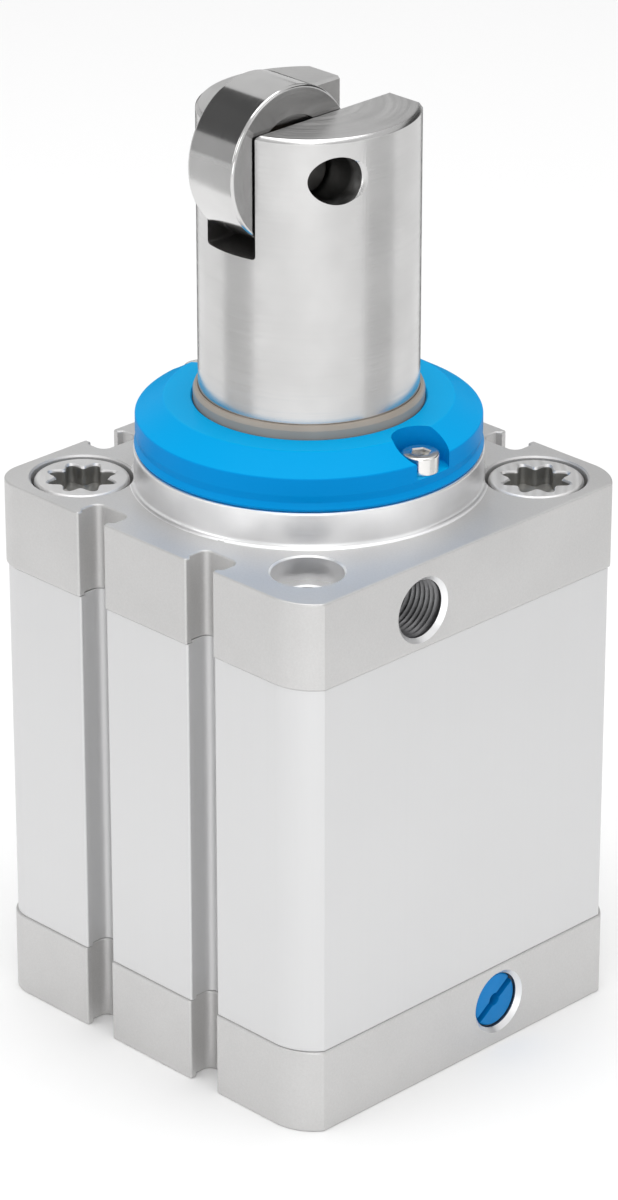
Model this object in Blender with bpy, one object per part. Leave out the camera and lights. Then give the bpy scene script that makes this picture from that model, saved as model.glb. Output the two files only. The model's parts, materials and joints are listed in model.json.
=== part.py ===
"""Roller stopper cylinder: 50 mm bore, single acting, extended by a spring, 25 mm stroke.

+Z runs up the piston rod, +X is the face with the two air ports, and the origin is the centre
of the bottom face. All sizes below are in millimetres and become metres when a mesh is made.
The rest position is the extended one: the piston is at the top of its stroke.
"""

import math

import bmesh
import bpy
from mathutils import Matrix, Vector

MM = 0.001
GAP = 0.3               # clearance kept between pieces that touch on the real cylinder
SIDES = 32              # facets round the bore, the rod and the large outer pieces
INNER_SIDES = 24        # facets round seals and other pieces inside
SMALL_SIDES = 14        # facets round screws and ports
TINY_SIDES = 8          # facets round drilled air passages

# body
CAP_WIDTH = 65.5        # across flats of both caps
BARREL_WIDTH = 65.0
END_CAP_TOP = 13.1
BARREL_BOTTOM = END_CAP_TOP + GAP
BEARING_CAP_BOTTOM = 70.7
BARREL_TOP = BEARING_CAP_BOTTOM - GAP
BODY_TOP = 84.0
COLLAR_TOP = 89.4
CORNER_RADIUS = 5.0
PORT_CORNER_RADIUS = 8.0    # the two corners beside the port face
PORT_SIDE_TRIM = 1.4    # the port face is milled back by this much, which leaves a crease
BORE_RADIUS = 25.0
COLLAR_RADIUS = 25.4

# sensor slots on three sides
SLOT_OFFSET = 11.2
SLOT_HALF_OPENING = 2.7
SLOT_HALF_WIDTH = 3.4
SLOT_LIP = 1.0
SLOT_DEPTH = 4.6
SLOT_FLOOR_RADIUS = 1.9
SLOT_UNDERCUT = 0.5     # height of the slope behind the lips

# holes in the four corners
CORNER_OFFSET = 23.3
MOUNT_HOLE_RADIUS = 3.3
MOUNT_COUNTERBORE_RADIUS = 5.2
MOUNT_COUNTERBORE_DEPTH = 3.7
HEAD_POCKET_RADIUS = 7.5
HEAD_POCKET_DEPTH = 5.4
HEAD_RADIUS = 7.0
HEAD_HEIGHT = 4.9
HEAD_RECESS = 0.2
SHANK_RADIUS = 3.7
SHANK_LENGTH = 26.0
SHANK_CHAMFER = 0.7
HEAD_CHAMFER = 0.4
TAPPED_RADIUS = SHANK_RADIUS + GAP
TAPPED_DEPTH = 22.0
TOOL_REACH = 40.0       # longer than any hole that a corner tool cuts
SOCKET_RADIUS = 5.2
SOCKET_WAIST = 3.7
SOCKET_DEPTH = 3.0
STAR_STEPS = 30

# air ports on +X: (y, z) of each centre
UPPER_PORT = (-9.8, 76.7)
LOWER_PORT = (7.2, 7.0)
PORT_RADIUS = 4.3
PORT_DEPTH = 8.4
PORT_CHAMFER = 0.7
PASSAGE_RADIUS = 1.5    # drilled from the port towards the bore
PASSAGE_X = 18.4
PASSAGE_DROP_RADIUS = 1.2
PASSAGE_OUTLET_RADIUS = 0.8

# vent insert in the lower port, depths from the +X face
VENT_FACE_DEPTH = 0.9
VENT_BACK_DEPTH = 5.6
VENT_BORE = 1.0
VENT_SLOT_DEPTH = 2.2
VENT_SLOT_HALF = 0.6
VENT_SLOT_TILT = 35.0

# neck of the bearing cap, inside the barrel
NECK_BOTTOM = 56.1
NECK_RADIUS = 24.0
NECK_SEAT_RADIUS = 24.7
NECK_SEAT_BOTTOM = 64.7
RING_GROOVE_RADIUS = 22.9   # bottom of the O-ring grooves in both caps
RING_GROOVE_HEIGHT = 2.2
NECK_GROOVE_BOTTOM = 65.6
SEAL_POCKET_RADIUS = 19.6
SEAL_POCKET_TOP = 62.4
BUSHING_POCKET_RADIUS = 18.3
SPIGOT_POCKET_RADIUS = 19.3
SPIGOT_POCKET_BOTTOM = 84.2
BEAD_GROOVE_RADIUS = 19.9
LOCK_GROOVE = (20.9, 23.9, 87.3)    # inner radius, outer radius, floor of the groove
FRONT_BUMPER_GROOVE = (20.7, 22.9, 58.0)

# end cap, inside the barrel
SPIGOT_TOP = 16.5
SPRING_POCKET_RADIUS = 16.5
SPRING_POCKET_FLOOR = 6.0
END_GROOVE_BOTTOM = 13.6
REAR_BUMPER_GROOVE = (17.8, 21.2, 14.2)

# piston rod
ROD_RADIUS = 16.0
ROD_TOP = 141.3
ROD_SHOULDER = 55.1
ROD_SPIGOT_RADIUS = 9.0
ROD_SPIGOT_BOTTOM = 45.5
ROD_THREAD_RADIUS = 5.0
ROD_THREAD_TOP = 64.0
ROD_FLAT_Y = 10.9       # anti-turn flat on the +Y side
ROD_FLAT_BOTTOM = 87.8
FORK_HALF_GAP = 4.8
FORK_FLOOR = 123.0
STROKE = 25.0

# roller
ROLLER_Y = -7.9
ROLLER_Z = 135.2
ROLLER_RADIUS = 11.5
ROLLER_HALF_WIDTH = 4.5
ROLLER_CHAMFER = 0.4
ROLLER_BORE = 5.0
BUSH_BORE = 3.35
AXLE_RADIUS = 3.2
AXLE_HALF_LENGTH = 8.4
AXLE_HOLE_RADIUS = 3.5

# piston
PISTON_BOTTOM = 42.8
PISTON_TOP = 54.8
PISTON_RADIUS = 24.4
SEAL_GROOVE_RADIUS = 21.6
MAGNET_GROOVE_RADIUS = 19.3
PISTON_BORE = 9.3
WASHER_POCKET_RADIUS = 11.8
WASHER_POCKET_TOP = 45.2

# locating ring
RING_UNDERSIDE = COLLAR_TOP + GAP
RING_RIM_TOP = 94.5
RING_TOP = 97.0
RING_RADIUS = 25.15
RING_LIP_RADIUS = 25.35
RING_FLAT_RADIUS = 21.0
RING_GROOVE_Z = 90.8
RING_GROOVE_DEPTH = 0.25
RING_HOLE = 16.3
RING_MOUTH = 16.85
GUIDE_BOTTOM = 88.1
GUIDE_FLAT_Y = 11.1
WIPER_GROOVE = (17.9, 93.3, 96.1)   # radius, floor, roof
LOCK_SCREW_OFFSET = 22.4
LOCK_POCKET_RADIUS = 4.15
LOCK_POCKET_FLOOR = 92.1
LOCK_HEAD_RADIUS = 2.75
LOCK_HEAD_TOP = 94.8
LOCK_SHANK_RADIUS = 1.2
LOCK_SOCKET = (1.45, 1.3)   # radius over corners, depth
WIPER_LIP_TOP = RING_TOP + 1.9

# return spring
SPRING_RADIUS = 14.0
WIRE_RADIUS = 1.0
SPRING_BOTTOM = SPRING_POCKET_FLOOR + GAP
SPRING_TOP = PISTON_BOTTOM - GAP
SPRING_TURNS = 5.5
CLOSED_PITCH = 2.3
POINTS_PER_TURN = 14

# colour, roughness, metallic
FINISHES = {
    "anodised_profile": ((0.74, 0.74, 0.75), 0.42, 1.0),
    "blasted_aluminium": ((0.62, 0.62, 0.63), 0.5, 1.0),
    "ground_steel": ((0.66, 0.66, 0.66), 0.28, 1.0),
    "polished_steel": ((0.7, 0.7, 0.7), 0.15, 1.0),
    "plated_steel": ((0.8, 0.79, 0.77), 0.25, 1.0),
    "blue_polymer": ((0.0, 0.36, 0.78), 0.4, 0.0),
    "deep_blue_polymer": ((0.0, 0.17, 0.45), 0.4, 0.0),
    "grey_elastomer": ((0.2, 0.19, 0.18), 0.6, 0.0),
    "black_rubber": ((0.03, 0.03, 0.03), 0.7, 0.0),
    "bronze": ((0.55, 0.36, 0.17), 0.4, 1.0),
    "white_polymer": ((0.8, 0.8, 0.76), 0.45, 0.0),
    "spring_steel": ((0.45, 0.45, 0.46), 0.3, 1.0),
    "magnet": ((0.08, 0.08, 0.09), 0.6, 0.2),
}


def clear_scene():
    for obj in list(bpy.data.objects):
        bpy.data.objects.remove(obj, do_unlink=True)


def make_material(name, finish):
    colour, roughness, metallic = FINISHES[finish]
    material = bpy.data.materials.new(name)
    material.use_nodes = True
    shader = material.node_tree.nodes["Principled BSDF"]
    shader.inputs["Base Color"].default_value = (*colour, 1.0)
    shader.inputs["Roughness"].default_value = roughness
    shader.inputs["Metallic"].default_value = metallic
    return material


def add_object(name, bm):
    """Turn a millimetre bmesh into an object in metres, with its faces pointing out."""
    bmesh.ops.recalc_face_normals(bm, faces=bm.faces)
    bmesh.ops.scale(bm, vec=(MM, MM, MM), verts=bm.verts)
    mesh = bpy.data.meshes.new(name)
    bm.to_mesh(mesh)
    bm.free()
    mesh.shade_smooth()
    mesh.set_sharp_from_angle(angle=math.radians(25))
    obj = bpy.data.objects.new(name, mesh)
    bpy.context.collection.objects.link(obj)
    return obj


def add_piece(name, bm, finish, parent=None):
    obj = add_object(name, bm)
    obj.data.materials.append(make_material(name, finish))
    obj.parent = parent
    return obj


def apply_tool(target, bm, label, operation="DIFFERENCE"):
    """Cut, or with UNION add, the given shape to the target with a Boolean modifier."""
    tool = add_object(f"{target.name}_{label}", bm)
    tool.hide_render = True
    tool.display_type = "WIRE"
    modifier = target.modifiers.new(label, "BOOLEAN")
    modifier.operation = operation
    modifier.solver = "EXACT"
    modifier.object = tool


def turned(profile, sides=SIDES):
    """Body of revolution about Z from a closed list of (radius, z) points."""
    bm = bmesh.new()
    verts = [bm.verts.new((radius, 0.0, z)) for radius, z in profile]
    edges = []
    for start, end in zip(verts, verts[1:] + verts[:1]):
        if start.co.x > 0.0 or end.co.x > 0.0:
            edges.append(bm.edges.new((start, end)))
    bmesh.ops.spin(
        bm, geom=verts + edges, cent=(0, 0, 0), axis=(0, 0, 1), dvec=(0, 0, 0),
        angle=math.tau, steps=sides, use_merge=True)
    bmesh.ops.remove_doubles(bm, verts=bm.verts, dist=1e-4)
    return bm


def cylinder(radius, bottom, top, sides=SIDES):
    return turned([(0, bottom), (radius, bottom), (radius, top), (0, top)], sides)


def ring(inner, outer, bottom, top, sides=SIDES):
    return turned([(inner, bottom), (outer, bottom), (outer, top), (inner, top)], sides)


def moved(bm, x=0.0, y=0.0, z=0.0):
    bmesh.ops.translate(bm, vec=(x, y, z), verts=bm.verts)
    return bm


def along_x(bm):
    """Turn a body made along +Z so that it runs along +X."""
    bmesh.ops.rotate(bm, cent=(0, 0, 0), matrix=Matrix.Rotation(math.pi / 2, 3, "Y"), verts=bm.verts)
    return bm


def prism(outline, bottom, top):
    bm = bmesh.new()
    base = bm.faces.new([bm.verts.new((x, y, bottom)) for x, y in outline])
    extruded = bmesh.ops.extrude_face_region(bm, geom=[base])
    upper = [item for item in extruded["geom"] if isinstance(item, bmesh.types.BMVert)]
    bmesh.ops.translate(bm, vec=(0, 0, top - bottom), verts=upper)
    return bm


def box(low, high):
    outline = [(low[0], low[1]), (high[0], low[1]), (high[0], high[1]), (low[0], high[1])]
    return prism(outline, low[2], high[2])


def arc(centre, radius, start, end, steps):
    """Points on an arc, angles in degrees, both ends included."""
    points = []
    for step in range(steps + 1):
        angle = math.radians(start + (end - start) * step / steps)
        points.append((centre[0] + radius * math.cos(angle), centre[1] + radius * math.sin(angle)))
    return points


def torus(ring_radius, section_radius, z, sides=SIDES, section_sides=6):
    section = [
        (ring_radius + section_radius * math.cos(math.tau * k / section_sides),
         z + section_radius * math.sin(math.tau * k / section_sides))
        for k in range(section_sides)]
    return turned(section, sides)


def slot_side(half):
    """One side with its two sensor slots, from left to right, for the side that faces -Y."""
    points = []
    floor = -half + SLOT_DEPTH
    for centre in (-SLOT_OFFSET, SLOT_OFFSET):
        left = centre - SLOT_HALF_WIDTH + SLOT_FLOOR_RADIUS
        right = centre + SLOT_HALF_WIDTH - SLOT_FLOOR_RADIUS
        corner_y = floor - SLOT_FLOOR_RADIUS
        points.append((centre - SLOT_HALF_OPENING, -half))
        points.append((centre - SLOT_HALF_OPENING, -half + SLOT_LIP))
        points.append((centre - SLOT_HALF_WIDTH, -half + SLOT_LIP + SLOT_UNDERCUT))
        points += arc((left, corner_y), SLOT_FLOOR_RADIUS, 180, 90, 3)
        points += arc((right, corner_y), SLOT_FLOOR_RADIUS, 90, 0, 3)
        points.append((centre + SLOT_HALF_WIDTH, -half + SLOT_LIP + SLOT_UNDERCUT))
        points.append((centre + SLOT_HALF_OPENING, -half + SLOT_LIP))
        points.append((centre + SLOT_HALF_OPENING, -half))
    return points


def turn_points(points, quarter_turns):
    for _ in range(quarter_turns):
        points = [(-y, x) for x, y in points]
    return points


def body_outline(width):
    """Square section, slots on -Y, +Y and -X; the corners beside +X are larger and end in a crease."""
    half = width / 2
    inner = half - CORNER_RADIUS
    port_y = half - PORT_CORNER_RADIUS
    port_x = port_y + PORT_SIDE_TRIM
    crease = math.degrees(math.acos((half - port_x) / PORT_CORNER_RADIUS))
    points = slot_side(half)
    points += arc((port_x, -port_y), PORT_CORNER_RADIUS, -90, -crease, 5)
    points += arc((port_x, port_y), PORT_CORNER_RADIUS, crease, 90, 5)
    points += turn_points(slot_side(half), 2)
    points += arc((-inner, inner), CORNER_RADIUS, 90, 180, 6)
    points += turn_points(slot_side(half), 3)
    points += arc((-inner, -inner), CORNER_RADIUS, 180, 270, 6)
    return points


def screw_corners():
    return [(-CORNER_OFFSET, -CORNER_OFFSET), (CORNER_OFFSET, CORNER_OFFSET)]


def mount_corners():
    return [(CORNER_OFFSET, -CORNER_OFFSET), (-CORNER_OFFSET, CORNER_OFFSET)]


def star_outline():
    """Six-lobed socket, one lobe on the diagonal of the body."""
    points = []
    middle = (SOCKET_RADIUS + SOCKET_WAIST) / 2
    swing = (SOCKET_RADIUS - SOCKET_WAIST) / 2
    for step in range(STAR_STEPS):
        angle = math.tau * step / STAR_STEPS
        radius = middle + swing * math.cos(6 * (angle - math.pi / 4))
        points.append((radius * math.cos(angle), radius * math.sin(angle)))
    return points


def cut_port(cap, centre, label):
    """Port with a chamfered mouth on the +X face."""
    y, z = centre
    face = CAP_WIDTH / 2
    profile = [
        (0, face - PORT_DEPTH), (PORT_RADIUS, face - PORT_DEPTH), (PORT_RADIUS, face - PORT_CHAMFER),
        (PORT_RADIUS + PORT_CHAMFER, face), (PORT_RADIUS + PORT_CHAMFER, face + 1), (0, face + 1)]
    apply_tool(cap, moved(along_x(turned(profile, SMALL_SIDES)), 0, y, z), label)


def corner_tool(radius, pocket_radius, pocket_depth, flip):
    """Through hole with a pocket at the outer face; made at the axis, outer face at z = 0."""
    profile = [(0, -TOOL_REACH), (radius, -TOOL_REACH), (radius, -pocket_depth),
               (pocket_radius, -pocket_depth), (pocket_radius, 1), (0, 1)]
    if flip:
        profile = [(r, -z) for r, z in profile]
    return turned(profile, SMALL_SIDES + 4)


def cut_corners(cap, outer_z, flip):
    for number, (x, y) in enumerate(screw_corners()):
        tool = corner_tool(TAPPED_RADIUS, HEAD_POCKET_RADIUS, HEAD_POCKET_DEPTH, flip)
        apply_tool(cap, moved(tool, x, y, outer_z), f"screw_hole_{number}")
    for number, (x, y) in enumerate(mount_corners()):
        tool = corner_tool(MOUNT_HOLE_RADIUS, MOUNT_COUNTERBORE_RADIUS, MOUNT_COUNTERBORE_DEPTH, flip)
        apply_tool(cap, moved(tool, x, y, outer_z), f"mount_hole_{number}")


def make_barrel():
    barrel = add_piece(
        "barrel_profile", prism(body_outline(BARREL_WIDTH), BARREL_BOTTOM, BARREL_TOP), "anodised_profile")
    apply_tool(barrel, cylinder(BORE_RADIUS, BARREL_BOTTOM - 1, BARREL_TOP + 1), "bore")
    middle = (BARREL_BOTTOM + TAPPED_DEPTH, BARREL_TOP - TAPPED_DEPTH)
    screw_hole = [
        (0, BARREL_BOTTOM - 1), (TAPPED_RADIUS, BARREL_BOTTOM - 1), (TAPPED_RADIUS, middle[0]),
        (MOUNT_HOLE_RADIUS, middle[0]), (MOUNT_HOLE_RADIUS, middle[1]), (TAPPED_RADIUS, middle[1]),
        (TAPPED_RADIUS, BARREL_TOP + 1), (0, BARREL_TOP + 1)]
    for number, (x, y) in enumerate(screw_corners()):
        apply_tool(barrel, moved(turned(screw_hole, SMALL_SIDES), x, y), f"tapped_hole_{number}")
    for number, (x, y) in enumerate(mount_corners()):
        tool = cylinder(MOUNT_HOLE_RADIUS, BARREL_BOTTOM - 1, BARREL_TOP + 1, SMALL_SIDES)
        apply_tool(barrel, moved(tool, x, y), f"mount_hole_{number}")


def make_bearing_cap():
    cap = add_piece(
        "bearing_cap", prism(body_outline(CAP_WIDTH), BEARING_CAP_BOTTOM, BODY_TOP), "blasted_aluminium")
    groove_top = NECK_GROOVE_BOTTOM + RING_GROOVE_HEIGHT
    turned_part = [
        (0, NECK_BOTTOM), (NECK_RADIUS, NECK_BOTTOM), (NECK_RADIUS, NECK_SEAT_BOTTOM),
        (NECK_SEAT_RADIUS, NECK_SEAT_BOTTOM), (NECK_SEAT_RADIUS, NECK_GROOVE_BOTTOM),
        (RING_GROOVE_RADIUS, NECK_GROOVE_BOTTOM), (RING_GROOVE_RADIUS, groove_top),
        (NECK_SEAT_RADIUS, groove_top), (NECK_SEAT_RADIUS, BODY_TOP - 2), (COLLAR_RADIUS, BODY_TOP - 2),
        (COLLAR_RADIUS, COLLAR_TOP - 0.4), (COLLAR_RADIUS - 0.4, COLLAR_TOP), (0, COLLAR_TOP)]
    apply_tool(cap, turned(turned_part), "neck_and_collar", "UNION")
    bead_low = SPIGOT_POCKET_BOTTOM + 0.9
    bead_high = bead_low + 1.8
    bore = [
        (0, NECK_BOTTOM - 1), (SEAL_POCKET_RADIUS, NECK_BOTTOM - 1), (SEAL_POCKET_RADIUS, SEAL_POCKET_TOP),
        (BUSHING_POCKET_RADIUS, SEAL_POCKET_TOP), (BUSHING_POCKET_RADIUS, SPIGOT_POCKET_BOTTOM),
        (SPIGOT_POCKET_RADIUS, SPIGOT_POCKET_BOTTOM), (SPIGOT_POCKET_RADIUS, bead_low),
        (BEAD_GROOVE_RADIUS, bead_low), (BEAD_GROOVE_RADIUS, bead_high), (SPIGOT_POCKET_RADIUS, bead_high),
        (SPIGOT_POCKET_RADIUS, COLLAR_TOP + 1), (0, COLLAR_TOP + 1)]
    apply_tool(cap, turned(bore), "stepped_bore")
    inner, outer, floor = LOCK_GROOVE
    apply_tool(cap, ring(inner, outer, floor, COLLAR_TOP + 1), "lock_groove")
    inner, outer, roof = FRONT_BUMPER_GROOVE
    apply_tool(cap, ring(inner, outer, NECK_BOTTOM - 1, roof), "bumper_groove")
    cut_corners(cap, BODY_TOP, flip=False)
    cut_port(cap, UPPER_PORT, "port")
    port_y, port_z = UPPER_PORT
    outlet_z = NECK_SEAT_BOTTOM - 0.9
    port_end = CAP_WIDTH / 2 - PORT_DEPTH
    inward = along_x(cylinder(PASSAGE_RADIUS, PASSAGE_X, port_end + 1, TINY_SIDES))
    apply_tool(cap, moved(inward, 0, port_y, port_z), "air_passage_inward")
    downward = cylinder(PASSAGE_DROP_RADIUS, outlet_z, port_z, TINY_SIDES)
    apply_tool(cap, moved(downward, PASSAGE_X, port_y), "air_passage_down")
    outward = along_x(cylinder(PASSAGE_OUTLET_RADIUS, PASSAGE_X, NECK_RADIUS + 2, TINY_SIDES))
    apply_tool(cap, moved(outward, 0, port_y, outlet_z), "air_passage_outward")


def make_end_cap():
    cap = add_piece("end_cap", prism(body_outline(CAP_WIDTH), 0, END_CAP_TOP), "blasted_aluminium")
    groove_top = END_GROOVE_BOTTOM + RING_GROOVE_HEIGHT
    spigot = [
        (0, END_CAP_TOP - 2), (NECK_SEAT_RADIUS, END_CAP_TOP - 2), (NECK_SEAT_RADIUS, END_GROOVE_BOTTOM),
        (RING_GROOVE_RADIUS, END_GROOVE_BOTTOM), (RING_GROOVE_RADIUS, groove_top),
        (NECK_SEAT_RADIUS, groove_top), (NECK_SEAT_RADIUS, SPIGOT_TOP), (0, SPIGOT_TOP)]
    apply_tool(cap, turned(spigot), "spigot", "UNION")
    apply_tool(cap, cylinder(SPRING_POCKET_RADIUS, SPRING_POCKET_FLOOR, SPIGOT_TOP + 1), "spring_pocket")
    inner, outer, floor = REAR_BUMPER_GROOVE
    apply_tool(cap, ring(inner, outer, floor, SPIGOT_TOP + 1), "bumper_groove")
    cut_corners(cap, 0, flip=True)
    cut_port(cap, LOWER_PORT, "port")
    port_y, port_z = LOWER_PORT
    passage = along_x(cylinder(PASSAGE_RADIUS, 13, CAP_WIDTH / 2 - PORT_DEPTH + 1, TINY_SIDES))
    apply_tool(cap, moved(passage, 0, port_y, port_z + 1.0), "air_passage")


def make_cap_screw(name, corner, outer_z, flip):
    """Flush screw with a six-lobed socket; made head up, outer face of the cap at z = 0."""
    top = -HEAD_RECESS
    under_head = top - HEAD_HEIGHT
    profile = [
        (0, under_head - SHANK_LENGTH), (SHANK_RADIUS - SHANK_CHAMFER, under_head - SHANK_LENGTH),
        (SHANK_RADIUS, under_head - SHANK_LENGTH + SHANK_CHAMFER), (SHANK_RADIUS, under_head),
        (HEAD_RADIUS, under_head), (HEAD_RADIUS, top - HEAD_CHAMFER), (HEAD_RADIUS - HEAD_CHAMFER, top),
        (0, top)]
    screw = turned(profile, SMALL_SIDES + 4)
    socket = prism(star_outline(), top - SOCKET_DEPTH, top + 1)
    x, y = corner
    if flip:
        over = Matrix.Rotation(math.pi, 3, Vector((1, 1, 0)))
        for bm in (screw, socket):
            bmesh.ops.rotate(bm, cent=(0, 0, 0), matrix=over, verts=bm.verts)
    piece = add_piece(name, moved(screw, x, y, outer_z), "plated_steel")
    apply_tool(piece, moved(socket, x, y, outer_z), "socket")


def make_cap_screws():
    for number, corner in enumerate(screw_corners(), start=1):
        make_cap_screw(f"bearing_cap_screw_{number}", corner, BODY_TOP, flip=False)
        make_cap_screw(f"end_cap_screw_{number}", corner, 0, flip=True)


def make_bearing_parts():
    bushing = ring(
        ROD_RADIUS + 0.15, BUSHING_POCKET_RADIUS - GAP, SEAL_POCKET_TOP + GAP, SPIGOT_POCKET_BOTTOM - GAP)
    add_piece("rod_bushing", bushing, "bronze")
    outer = SEAL_POCKET_RADIUS - GAP
    inner = ROD_RADIUS + 0.2
    low = NECK_BOTTOM + 2.0
    high = SEAL_POCKET_TOP - GAP
    middle = (inner + outer) / 2
    seal = [
        (inner, low), (inner + 0.6, low), (middle, low + 1.6), (outer - 0.6, low), (outer, low),
        (outer, high), (inner + 0.5, high), (inner + 0.5, low + 1.8), (inner, low + 1.2)]
    add_piece("rod_seal", turned(seal, INNER_SIDES), "black_rubber")
    washer = ring(ROD_RADIUS + 0.9, outer, NECK_BOTTOM + 0.4, low - GAP, INNER_SIDES)
    add_piece("seal_retaining_washer", washer, "plated_steel")


def make_static_seals():
    section = 0.85
    centre_radius = RING_GROOVE_RADIUS + 0.1 + section
    upper = NECK_GROOVE_BOTTOM + RING_GROOVE_HEIGHT / 2
    lower = END_GROOVE_BOTTOM + RING_GROOVE_HEIGHT / 2
    add_piece("bearing_cap_o_ring", torus(centre_radius, section, upper), "black_rubber")
    add_piece("end_cap_o_ring", torus(centre_radius, section, lower), "black_rubber")


def make_bumpers():
    inner, outer, roof = FRONT_BUMPER_GROOVE
    front = ring(inner + GAP, outer - GAP, PISTON_TOP + GAP, roof - GAP, INNER_SIDES)
    add_piece("front_bumper", front, "black_rubber")
    inner, outer, floor = REAR_BUMPER_GROOVE
    rear = ring(inner + GAP, outer - GAP, floor + GAP, PISTON_BOTTOM - STROKE - GAP, INNER_SIDES)
    add_piece("rear_bumper", rear, "black_rubber")


def make_vent():
    """Slotted vent insert in the lower port, with its filter disc behind it."""
    face = CAP_WIDTH / 2
    y, z = LOWER_PORT
    radius = PORT_RADIUS - 0.25
    back = face - VENT_BACK_DEPTH
    front = face - VENT_FACE_DEPTH
    profile = [
        (VENT_BORE, back), (radius, back), (radius, front - 0.3), (radius - 0.3, front), (VENT_BORE, front)]
    body = moved(along_x(turned(profile, SMALL_SIDES)), 0, y, z)
    plug = add_piece("vent_plug", body, "deep_blue_polymer")
    slot = box(
        (face - VENT_SLOT_DEPTH, -radius - 1, -VENT_SLOT_HALF), (face, radius + 1, VENT_SLOT_HALF))
    tilt = Matrix.Rotation(math.radians(VENT_SLOT_TILT), 3, "X")
    bmesh.ops.rotate(slot, cent=(0, 0, 0), matrix=tilt, verts=slot.verts)
    apply_tool(plug, moved(slot, 0, y, z), "slot")
    disc = cylinder(radius - 0.1, face - PORT_DEPTH + 0.4, back - GAP, SMALL_SIDES)
    add_piece("vent_filter", moved(along_x(disc), 0, y, z), "bronze")


def make_return_spring():
    """Helix with one closed turn at each end, as a curve with a round bevel."""
    low = SPRING_BOTTOM + WIRE_RADIUS
    high = SPRING_TOP - WIRE_RADIUS
    open_turns = SPRING_TURNS - 2
    open_pitch = (high - low - 2 * CLOSED_PITCH) / open_turns

    def height(turns):
        if turns <= 1:
            return low + CLOSED_PITCH * turns
        if turns >= SPRING_TURNS - 1:
            return high - CLOSED_PITCH * (SPRING_TURNS - turns)
        return low + CLOSED_PITCH + open_pitch * (turns - 1)

    count = round(SPRING_TURNS * POINTS_PER_TURN)
    curve = bpy.data.curves.new("return_spring", "CURVE")
    curve.dimensions = "3D"
    curve.bevel_depth = WIRE_RADIUS * MM
    curve.bevel_resolution = 1
    curve.use_fill_caps = True
    spline = curve.splines.new("POLY")
    spline.points.add(count)
    for index, point in enumerate(spline.points):
        turns = SPRING_TURNS * index / count
        angle = math.tau * turns
        x = SPRING_RADIUS * math.cos(angle)
        y = SPRING_RADIUS * math.sin(angle)
        point.co = (x * MM, y * MM, height(turns) * MM, 1.0)
    curve.materials.append(make_material("return_spring", "spring_steel"))
    bpy.context.collection.objects.link(bpy.data.objects.new("return_spring", curve))


def d_outline(radius, flat_y):
    """Circle cut by a flat on the +Y side."""
    start = math.degrees(math.asin(flat_y / radius))
    return arc((0, 0), radius, 180 - start, 360 + start, SIDES * 3 // 4)


def make_locating_ring():
    spigot_radius = SPIGOT_POCKET_RADIUS - GAP
    bead_low = SPIGOT_POCKET_BOTTOM + 1.2
    profile = [
        (0, SPIGOT_POCKET_BOTTOM + GAP), (spigot_radius, SPIGOT_POCKET_BOTTOM + GAP),
        (spigot_radius, bead_low), (BEAD_GROOVE_RADIUS - GAP, bead_low + 0.3),
        (BEAD_GROOVE_RADIUS - GAP, bead_low + 0.9), (spigot_radius, bead_low + 1.2),
        (spigot_radius, RING_UNDERSIDE), (RING_LIP_RADIUS - 0.3, RING_UNDERSIDE),
        (RING_LIP_RADIUS, RING_UNDERSIDE + 0.25), (RING_RADIUS - RING_GROOVE_DEPTH, RING_GROOVE_Z),
        (RING_RADIUS, RING_GROOVE_Z + 1.1), (RING_RADIUS, RING_RIM_TOP), (RING_FLAT_RADIUS, RING_TOP),
        (0, RING_TOP)]
    piece = add_piece("locating_ring", turned(profile), "blue_polymer")
    groove_radius, groove_floor, groove_roof = WIPER_GROOVE
    bore = [
        (0, SPIGOT_POCKET_BOTTOM - 1), (RING_HOLE, SPIGOT_POCKET_BOTTOM - 1), (RING_HOLE, GUIDE_BOTTOM),
        (0, GUIDE_BOTTOM)]
    apply_tool(piece, turned(bore), "lower_bore")
    apply_tool(piece, prism(d_outline(RING_HOLE, GUIDE_FLAT_Y), GUIDE_BOTTOM - 1, RING_TOP + 1), "d_guide")
    seat = [
        (0, groove_floor), (groove_radius, groove_floor), (groove_radius, groove_roof),
        (RING_MOUTH, groove_roof), (RING_MOUTH, RING_TOP + 1), (0, RING_TOP + 1)]
    apply_tool(piece, turned(seat), "wiper_groove")
    pocket = [
        (0, RING_UNDERSIDE - 1), (LOCK_SHANK_RADIUS + GAP, RING_UNDERSIDE - 1),
        (LOCK_SHANK_RADIUS + GAP, LOCK_POCKET_FLOOR), (LOCK_POCKET_RADIUS, LOCK_POCKET_FLOOR),
        (LOCK_POCKET_RADIUS, RING_TOP + 1), (0, RING_TOP + 1)]
    for number, side in enumerate((1, -1), start=1):
        tool = moved(turned(pocket, SMALL_SIDES), side * LOCK_SCREW_OFFSET)
        apply_tool(piece, tool, f"screw_pocket_{number}")


def make_lock_screws():
    tip = LOCK_GROOVE[2] + GAP
    under_head = LOCK_POCKET_FLOOR + 0.2
    profile = [
        (0, tip), (LOCK_SHANK_RADIUS - 0.3, tip), (LOCK_SHANK_RADIUS, tip + 0.3),
        (LOCK_SHANK_RADIUS, under_head), (LOCK_HEAD_RADIUS, under_head),
        (LOCK_HEAD_RADIUS, LOCK_HEAD_TOP - 0.3), (LOCK_HEAD_RADIUS - 0.3, LOCK_HEAD_TOP),
        (0, LOCK_HEAD_TOP)]
    for number, side in enumerate((1, -1), start=1):
        screw = moved(turned(profile, SMALL_SIDES), side * LOCK_SCREW_OFFSET)
        piece = add_piece(f"ring_lock_screw_{number}", screw, "plated_steel")
        socket_radius, socket_depth = LOCK_SOCKET
        socket = cylinder(socket_radius, LOCK_HEAD_TOP - socket_depth, LOCK_HEAD_TOP + 1, 6)
        apply_tool(piece, moved(socket, side * LOCK_SCREW_OFFSET), "socket")


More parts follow.
